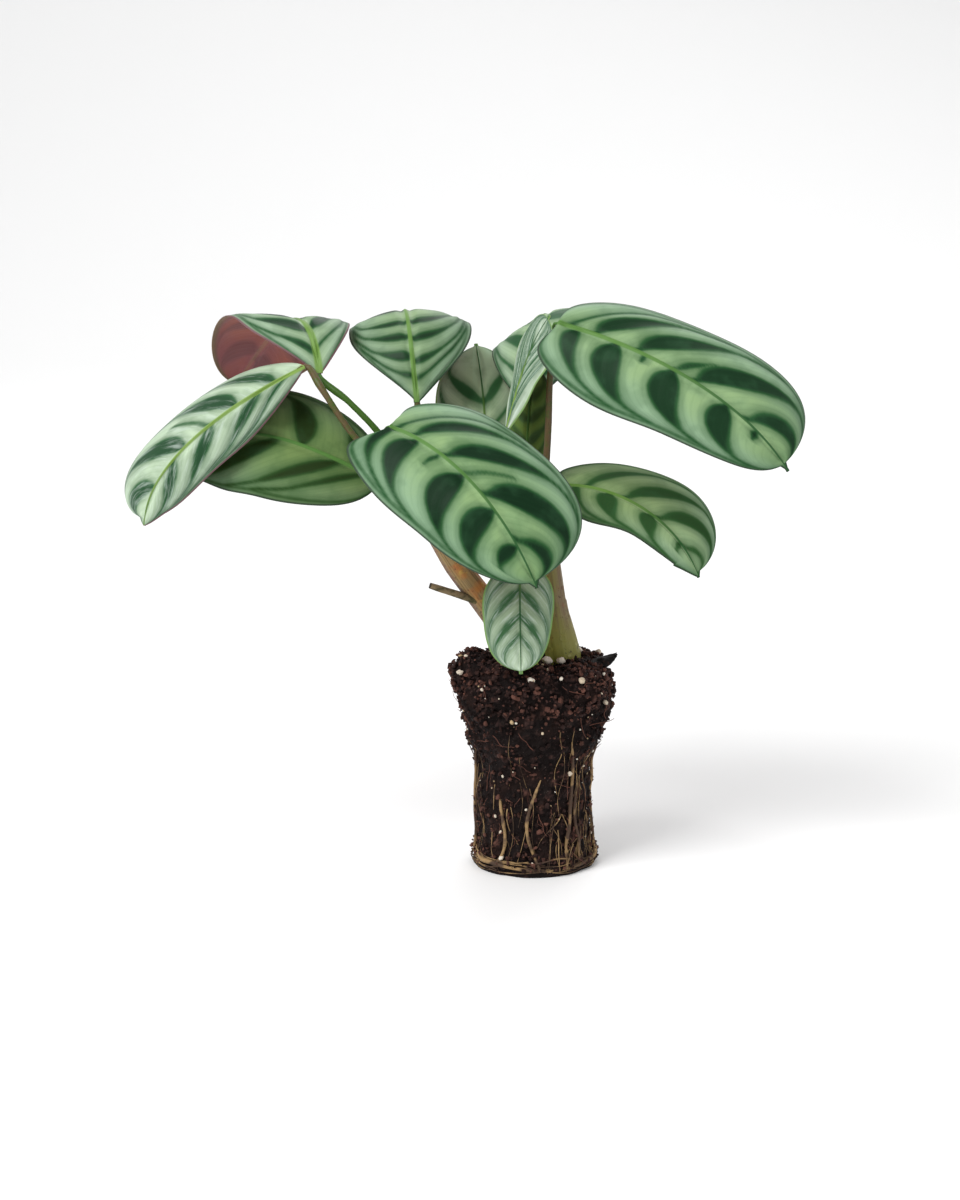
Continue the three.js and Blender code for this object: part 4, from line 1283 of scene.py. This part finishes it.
def soil_finish():
    f = Finish("potting soil")
    place = f.place()
    lift = f.attribute("lift")
    broad = f.grain(place, 170.0, detail=4.0, roughness=0.6)
    fine = f.grain(place, 900.0, detail=5.0, roughness=0.7)
    specks = f.cells(place, 1500.0)
    base = f.blend("soil_dark", "soil_brown", f.step(broad, 0.46, 0.68) * 0.75)
    base = f.blend(base, SOIL_RUST, f.step(fine, 0.58, 0.7) * 0.55)
    # Painted shade: near black where the surface sinks between the crumbs.
    base = f.blend(base, PAINTED_CRACK_SHADE, f.step(lift, 0.1, -0.6) * 0.85)
    base = f.blend(base, SOIL_SPECK, f.step(specks, 0.14, 0.07) * f.step(fine, 0.5, 0.6) * 0.6)
    height = fine + broad * 0.6 - specks * 0.3
    return f.finish(
        Base_Color=base, Roughness=0.5 + fine * 0.35, Normal=f.bumped(height, 0.0005, 0.9),
        Coat_Weight=f.step(fine, 0.56, 0.7) * 0.2, Coat_Roughness=0.3, Specular_IOR_Level=0.1,
    )


def grain_finish(name, main, other, share, rough, shadowed=False):
    """Loose grains: each is of the main colour or, for a share of them, of the other. Those that are
    shadowed are darker in patches."""
    f = Finish(name)
    tint = f.attribute("tint")
    fine = f.grain(f.place(), 1500.0, detail=4.0, roughness=0.65)
    base = f.blend(main, other, f.step(tint, 1 - 2 * share, 1.0))
    base = f.blend(base, scaled_shade(main, 0.3), f.step(fine, 0.5, 0.7) * 0.6)
    if shadowed:
        broad = f.grain(f.place(), 160.0, detail=2.0)
        base = f.blend(base, scaled_shade(main, 0.2), f.step(broad, 0.52, 0.42) * 0.75)
    return f.finish(
        Base_Color=base, Roughness=rough + fine * 0.3, Normal=f.bumped(fine, 0.0002, 0.7),
        Specular_IOR_Level=0.1,
    )


def scatter_tree():
    """Geometry Nodes: spreads lumpy grains over a surface, half sunk in it."""
    g = Geometry("grains on a surface", (
        ("Density", "Float", 1.0), ("Spacing", "Float", 0.0), ("Seed", "Int", 0), ("Size", "Float", 0.0006),
        ("Smallest", "Float", 0.5), ("Largest", "Float", 1.5), ("Stretch", "Float", 0.6),
        ("Sides", "Int", 7), ("Rings", "Int", 5), ("Lumps", "Float", 0.3), ("Sink", "Float", 0.0),
        ("Rarity", "Float", 2.5), ("Smooth", "Bool", False),
    ))
    given = g.given
    seed, size, stretch = given["Seed"], given["Size"], given["Stretch"]
    next_seed = seed + 1.0
    points = g.node("GeometryNodeDistributePointsOnFaces", {"distribute_method": "POISSON"}, {
        "Mesh": given["Geometry"], "Distance Min": given["Spacing"], "Density Max": given["Density"],
        "Seed": seed,
    })
    normal = Wire(g, points.socket.node.outputs["Normal"])
    sunk = g.moved(points, normal, given["Sink"])
    sphere = {"Segments": given["Sides"], "Rings": given["Rings"], "Radius": 1.0}
    ball = g.node("GeometryNodeMeshUVSphere", None, sphere)
    grains = g.node("GeometryNodeInstanceOnPoints", None, {"Points": sunk, "Instance": ball})
    # Small grains are common and large ones rare, and each is stretched its own way.
    share = g.random(seed) ** given["Rarity"]
    limits = {"Value": share, "To Min": given["Smallest"], "To Max": given["Largest"]}
    grown = g.node("ShaderNodeMapRange", None, limits) * size
    shape = g.node("ShaderNodeVectorMath", {"operation": "MULTIPLY_ADD"}, {
        0: g.random(next_seed, 1.0), 1: stretch, 2: 1.0 - stretch,
    })
    scale = {"Instances": grains, "Scale": g.scaled(shape, grown)}
    grains = g.node("GeometryNodeScaleInstances", None, scale)
    turn = {"Instances": grains, "Rotation": g.random(next_seed, math.tau)}
    grains = g.node("GeometryNodeRotateInstances", None, turn)
    grains = g.node("GeometryNodeStoreNamedAttribute", {"data_type": "FLOAT", "domain": "INSTANCE"}, {
        "Geometry": grains, "Name": "tint", "Value": g.random(next_seed),
    })
    lumps = (g.math("DIVIDE", 0.7, size), 1.0, given["Lumps"] * size)
    return g.finish(g.smoothed(g.roughened(g.realized(grains), *lumps), given["Smooth"]))


def ground_copy(name, low, high):
    """A copy of the plug's surface between two heights, coarse enough to scatter grains on."""
    grid, _ = plug_grid(*GROUND_GRID)
    points = grid.reshape(-1, 3)
    faces = grid_faces(*grid.shape[:2], closed=True)
    heights = points[faces][:, :, 2].mean(axis=1)
    return new_piece(name, points, faces[(heights > low) & (heights < high)], [])


def perlite_lumps(material):
    """The largest perlite grains, which lie round the shoots' feet."""
    ball, ball_faces = closed_skin(ball_rings(*PERLITE_BALL))
    points, faces, tints = [], [], []
    for number, (x, y, z, radius) in enumerate(BIG_PERLITE):
        shift = Vector((7 * number, 0, 0))
        rough = np.array([noise.fractal(Vector(point) * 1.1 + shift, 0.9, 2.0, 3) for point in ball])
        faces.extend([corner + len(points) for corner in face] for face in ball_faces)
        points.extend(ball * radius * (1 + 0.3 * rough)[:, None] * (1.15, 1, 0.85) + (x, y, z))
        tints.extend([(number * 0.37) % 1] * len(ball))
    return new_piece("big_perlite", points, faces, [material], attributes={"tint": tints})


def bark_chip():
    """A flat dark chip with one upturned end."""
    f = Finish("bark chip")
    grain = f.grain(f.place(), 700.0, detail=5.0, roughness=0.7)
    base = f.blend(BARK_DARK, BARK_BROWN, f.step(grain, 0.5, 0.72))
    material = f.finish(
        Base_Color=base, Roughness=0.5 + grain * 0.3, Normal=f.bumped(grain, 0.0004, 0.8),
        Specular_IOR_Level=0.12,
    )
    rings = np.roll(ball_rings(*BARK_BALL), 1, axis=-1)
    points = rings.reshape(-1, 3)
    rough = np.array([noise.fractal(Vector(point) * 1.9, 0.8, 2.0, 4) for point in points])
    points = points * (1 + 0.2 * rough)[:, None]
    outer = np.clip(points[:, :1], 0, 1)
    points = points * (1 - outer * (0, 0.4, 0.3)) * BARK_CHIP["half"]
    points[:, 2] += 1.1 * outer[:, 0] ** 2 - 0.5 * outer[:, 0]
    turn = Matrix.Identity(3)
    for angle, axis in zip(BARK_CHIP["turn"], "XYZ"):
        turn = Matrix.Rotation(angle, 3, axis) @ turn
    points = points @ np.array(turn).T + BARK_CHIP["at"]
    return new_piece("bark_chip", *closed_skin(points.reshape(rings.shape)), [material])


def hoop_height(angle):
    return HOOP_ROOT["height"] + HOOP_ROOT["rise"] * np.sin(2 * angle + 0.8)


def running_root(root, proud):
    """The route of a root down the plug's wall to the one that circles its foot."""
    share = np.linspace(0, 1, 7)
    swing = root["drift"] * np.sin(np.pi * share) + 2.5 * np.sin(5 * share + root["angle"])
    angles = root["angle"] + swing
    heights = root["top"] + (hoop_height(np.radians(angles)) - root["top"]) * share
    return wall_path(angles, heights, proud - np.where(share == 0, 0.7, 0))


def wall_path(angles, heights, proud):
    """A route on the plug's wall through angles, in degrees, and heights."""
    angle, z = np.radians(angles), np.asarray(heights, float)
    return around(angle, plug_radius(angle, z) + proud, z)


def root_paths(sizes, draw):
    paths = []
    turn = np.linspace(0, 2 * np.pi, 121)
    reach = plug_radius(turn, hoop_height(turn)) - 0.3 + 0.4 * np.sin(3 * turn + 2.2)
    hoop = around(turn, reach, hoop_height(turn))
    paths.append((hoop, HOOP_ROOT["radius"] * (0.66 + 0.1 * np.sin(7 * turn)), 0.5))
    for k, root in enumerate(ROOTS):
        line = smooth_path(running_root(root, 0.05 + 0.2 * np.sin(np.arange(7) * 1.7 + k)), PATH_POINTS)
        share = np.linspace(0, 1, PATH_POINTS)
        radii = ROOT_RADIUS * np.interp(share, [0, 0.08, 0.5, 1], [0.35, 0.85, 1, 0.85])
        paths.append((line, 0.72 * radii * (1 + 0.1 * np.sin(25 * share + k)), draw.random()))
    for k in range(sizes.rootlet_count):
        tangled = k % 3 == 0
        start = draw.uniform(-75, 10) if tangled else draw.uniform(-180, 180)
        top = draw.uniform(4, 16) if tangled else draw.uniform(8, 38)
        share = np.linspace(0, 1, 9)
        sway = draw.uniform(-26, 26) if tangled else draw.uniform(-9, 9)
        bend = draw.uniform(-4, 4) * np.sin(np.pi * share * draw.uniform(1, 2.4))
        drop = top - max(1.0, top - draw.uniform(6, 22))
        line = smooth_path(wall_path(start + sway * share + bend, top - drop * share,
                                     draw.uniform(-0.25, 0.2) + 0.3 * np.sin(4 * share + k)),
                           FINE_PATH_POINTS)
        radius = draw.choice([0.05, 0.07, 0.09, 0.14])
        paths.append((line, radius * np.linspace(1, 0.5, FINE_PATH_POINTS), draw.random()))
    for k in range(sizes.rootlet_count // 3):
        share = np.linspace(0, 1, 8)
        angles = draw.uniform(-180, 180) + draw.uniform(25, 80) * share
        heights = draw.uniform(0.9, 4.0) + draw.uniform(0.2, 1.0) * np.sin(5 * share + k)
        route = wall_path(angles, np.clip(heights, 0.6, 7), draw.uniform(-0.2, 0.35))
        line = smooth_path(route, FINE_PATH_POINTS)
        paths.append((line, draw.uniform(0.07, 0.2) * np.ones(FINE_PATH_POINTS), draw.random()))
    return paths


def fibre_paths(sizes, draw):
    """Short curved coir fibres that lie on the soil, some with an end standing off it."""
    paths = []
    for _ in range(sizes.fibre_count):
        start, high = draw.uniform(-180, 180), draw.uniform(6, 48)
        lean = draw.uniform(-1, 1)
        count = 5
        angles = start + np.linspace(0, draw.uniform(6, 22) * lean, count) + draw.normal(0, 1, count)
        heights = np.clip(high + np.linspace(0, draw.uniform(-6, 6), count), 1, 48.5)
        proud = np.linspace(-0.3, draw.choice([0.2, 0.4, 0.9]), count)
        line = smooth_path(wall_path(angles, heights, proud), FIBRE_POINTS)
        radii = draw.uniform(0.05, 0.13) * np.linspace(1, 0.5, FIBRE_POINTS)
        paths.append((line, radii, draw.random()))
    return paths


def root_finish():
    f = Finish("root")
    kind = f.attribute("kind")
    place = f.place()
    mottle = f.grain(place, 350.0, detail=4.0, roughness=0.65)
    base = f.blend("root", scaled_shade("root", 0.5), f.step(mottle, 0.45, 0.7) * 0.7)
    base = f.blend(base, ROOT_STAIN, f.step(kind, 0.5, 1.0) * 0.6)
    dirt = f.grain(place, 240.0, detail=3.0)
    base = f.blend(base, "soil_dark", f.step(dirt, 0.44, 0.58) * 0.85)
    return f.finish(
        Base_Color=base, Roughness=0.6 + mottle * 0.2, Normal=f.bumped(mottle, 0.0002, 0.7),
        Specular_IOR_Level=0.25,
    )


# operators


class BuildStage(bpy.types.Operator):
    """Pale floor, soft lights and the camera"""

    bl_idname = "plant.build_stage"
    bl_label = "Stage"

    def execute(self, context):
        sizes = context.scene.plant_sizes
        self.floor(sizes.floor_size / MM / 2)
        self.lights()
        self.camera(context)
        context.scene.view_settings.view_transform = "Standard"
        return {"FINISHED"}

    def floor(self, half):
        """A floor that curves up into a backdrop far behind the plant."""
        bend = FLOOR_BEND * half
        angle = np.linspace(0, np.pi / 2, FLOOR_BEND_ROWS)
        back = FLOOR_LEVEL * half + bend * np.sin(angle)
        y = np.concatenate([[-half], back, back[-1:]])
        z = np.concatenate([[0], bend * (1 - np.cos(angle)), [half]])
        points = [(x, y[k], z[k]) for k in range(len(y)) for x in (-half, half)]
        material = Finish("pale floor").finish(Base_Color=shade("floor"), Roughness=0.8)
        floor = new_piece("floor", points, grid_faces(len(y), 2)[:, ::-1], [material])

    def lights(self):
        world = bpy.data.worlds.new("studio")
        world.use_nodes = True
        background = world.node_tree.nodes["Background"]
        background.inputs["Color"].default_value = (1, 1, 1, 1)
        background.inputs["Strength"].default_value = ROOM_LIGHT
        bpy.context.scene.world = world
        for name, (place, power, width) in LAMPS.items():
            light = bpy.data.lights.new(name, "AREA")
            light.energy = power
            light.size = width
            lamp = placed(name, light)
            lamp.location = place
            aim = Vector(LAMP_AIM) - Vector(place)
            lamp.rotation_euler = aim.to_track_quat("-Z", "Y").to_euler()

    def camera(self, context):
        elevation = math.radians(CAMERA_ELEVATION)
        back = Vector((0, -math.cos(elevation), math.sin(elevation)))
        data = bpy.data.cameras.new("camera")
        data.sensor_width = SENSOR
        data.lens = LENS
        data.clip_start = 0.01
        data.clip_end = 100
        camera = placed("camera", data)
        camera.location = (Vector(CAMERA_AIM) + back * CAMERA_DISTANCE) * MM
        camera.rotation_euler = (math.pi / 2 - elevation, 0, 0)
        context.scene.camera = camera


class BuildSoil(bpy.types.Operator):
    """Plug of potting soil with its crumbs, perlite, bark chip and coir fibres"""

    bl_idname = "plant.build_soil"
    bl_label = "Soil plug"

    def execute(self, context):
        sizes = context.scene.plant_sizes
        own(soil_piece(soil_finish()), "soil", "soil_plug")
        scatter = scatter_tree()
        brown = grain_finish("crumb", "soil_dark", "soil_brown", 0.36, 0.5, True)
        white = grain_finish("perlite", "perlite", "perlite_stained", 0.4, 0.5)
        crumb, pearl = sizes.crumb_size, sizes.perlite_size
        for name, low, high, count, size, rarity, lumps, sink, material, seed in (
            ("crumbs", 1.4, 60, sizes.crumb_count, crumb, 2.5, 3.0, -0.1, brown, 4),
            ("head_crumbs", 40, 60, sizes.crumb_count * 1.2, crumb * 1.15, 2.2, 3.4, -0.2, brown, 11),
            ("foot_crumbs", 1.2, 5.5, sizes.crumb_count * 0.8, crumb * 0.9, 2, 2.8, 0.4, brown, 17),
            ("perlite", 3, 60, sizes.perlite_count, pearl, 3, 1.0, 0, white, 23),
        ):
            ground = ground_copy(name, low, high)
            settings = {
                "Density": count / GROUND_AREA, "Spacing": size * 0.7, "Seed": seed, "Size": size,
                "Smallest": 0.4, "Largest": 2.0, "Stretch": 0.7, "Lumps": lumps, "Sink": sink * MM,
                "Rarity": float(rarity), "Smooth": name == "perlite", "Material": material,
            }
            own(bake_nodes(ground, scatter, settings), "soil")
        own(perlite_lumps(white), "soil")
        draw = np.random.default_rng(FIBRE_SEED)
        fibre = grain_finish("coir fibre", "soil_brown", "fibre_pale", 0.3, 0.6)
        settings = {"Sides": 6, "Roughening": 0.00005, "Grain": 900.0, "Material": fibre}
        own(paths_piece("coir_fibres", fibre_paths(sizes, draw), settings), "soil")
        own(bark_chip(), "soil")
        return {"FINISHED"}


class BuildRoots(bpy.types.Operator):
    """Roots and rootlets on the plug's wall and foot"""

    bl_idname = "plant.build_roots"
    bl_label = "Roots"

    def execute(self, context):
        sizes = context.scene.plant_sizes
        draw = np.random.default_rng(ROOT_SEED)
        settings = {"Sides": 8, "Roughening": 0.00016, "Grain": 500.0, "Material": root_finish()}
        own(paths_piece("roots", root_paths(sizes, draw), settings), "root", "root_net")
        return {"FINISHED"}


class BuildShoots(bpy.types.Operator):
    """The three shoots: rolled sheaths, leaf stalks and the cut stub"""

    bl_idname = "plant.build_shoots"
    bl_label = "Shoots"

    def execute(self, context):
        slots = {"left": "sheath_orange", "right": "sheath_olive", "small": "sheath_green"}
        finishes = {
            "left": sheath_finish("left sheath", "sheath_left", 0.4, 0.7, 1),
            "right": sheath_finish("right sheath", "sheath_right", 0.2, 0.3, -1),
            "small": sheath_finish("small sheath", "sheath_small", 0.0, 0.0, 1),
        }
        stalk = stalk_finish()
        for name, shoot in SHOOTS.items():
            sheath = sheath_piece(f"{name}_sheath", shoot, finishes[name])
            own(sheath, slots[name], f"shoot_{name}")
            paths = [self.stalk(leaf, points, kind) for leaf, (points, kind) in shoot["stalks"].items()]
            if name == "left":
                share = np.linspace(0, 1, FINE_PATH_POINTS)
                stub = smooth_path(CUT_STUB, FINE_PATH_POINTS)
                paths.append((stub, np.interp(share, *STUB_PROFILE), DRY))
            settings = {"Sides": 20, "Roughening": 0.00012, "Grain": 700.0, "Material": stalk}
            own(paths_piece(f"{name}_stalks", paths, settings), slots[name])
        return {"FINISHED"}

    def stalk(self, name, points, kind):
        """A stalk's path, with the swollen joint that real stalks have just below the blade."""
        leaf = BLADES[name]
        centre, _, _, up = blade_axes(leaf, np.array([ENTRY_PLACE]))
        entry = centre[0] - ENTRY_DEPTH * up[0]
        line = smooth_path([*points, stalk_end(leaf), entry], PATH_POINTS)
        share = np.linspace(0, 1, PATH_POINTS)
        radii = np.interp(share, *STALK_PROFILE) * STALK_RADIUS
        if name in GREEN_ENDS:
            kind = kind * np.interp(share, [0, 0.78, 0.88, 1], [1, 1, 0, 0])
            radii = radii * np.interp(share, [0, 0.8, 0.9, 1], [1, 1, 0.5, 0.5])
        return line, radii, kind


class BuildLeaves(bpy.types.Operator):
    """The twelve patterned leaf blades"""

    bl_idname = "plant.build_leaves"
    bl_label = "Leaf blades"

    def execute(self, context):
        sizes = context.scene.plant_sizes
        underside = leaf_underside("leaf underside")
        for name, leaf in BLADES.items():
            upper = leaf_upper(f"{name} leaf", leaf)
            piece = blade_piece(f"{name}_leaf", leaf, sizes, [upper, underside])
            own(piece, "leaf_young" if name == "young" else "leaf", f"blade_{name}")
        return {"FINISHED"}


class PlantPanel(bpy.types.Panel):
    """Buttons that build each part of the plant, with its sizes and colours"""

    bl_idname = "VIEW3D_PT_plant"
    bl_label = "Fishbone prayer plant"
    bl_space_type = "VIEW_3D"
    bl_region_type = "UI"
    bl_category = "Plant"

    def draw(self, context):
        for operator in OPERATORS:
            self.layout.operator(operator.bl_idname)
        for group in (context.scene.plant_sizes, context.scene.plant_colours):
            box = self.layout.box()
            for name in group.bl_rna.properties.keys():
                if name not in ("rna_type", "name"):
                    box.prop(group, name)


OPERATORS = (BuildStage, BuildSoil, BuildRoots, BuildShoots, BuildLeaves)
CLASSES = (PlantSizes, PlantColours, *OPERATORS, PlantPanel)


def register():
    for cls in CLASSES:
        bpy.utils.register_class(cls)
    bpy.types.Scene.plant_sizes = PointerProperty(type=PlantSizes)
    bpy.types.Scene.plant_colours = PointerProperty(type=PlantColours)


def unregister():
    del bpy.types.Scene.plant_colours
    del bpy.types.Scene.plant_sizes
    for cls in reversed(CLASSES):
        bpy.utils.unregister_class(cls)


def main():
    register()
    bpy.ops.plant.build_stage()
    bpy.ops.plant.build_soil()
    bpy.ops.plant.build_roots()
    bpy.ops.plant.build_shoots()
    bpy.ops.plant.build_leaves()
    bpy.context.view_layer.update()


if __name__ == "__main__":
    main()
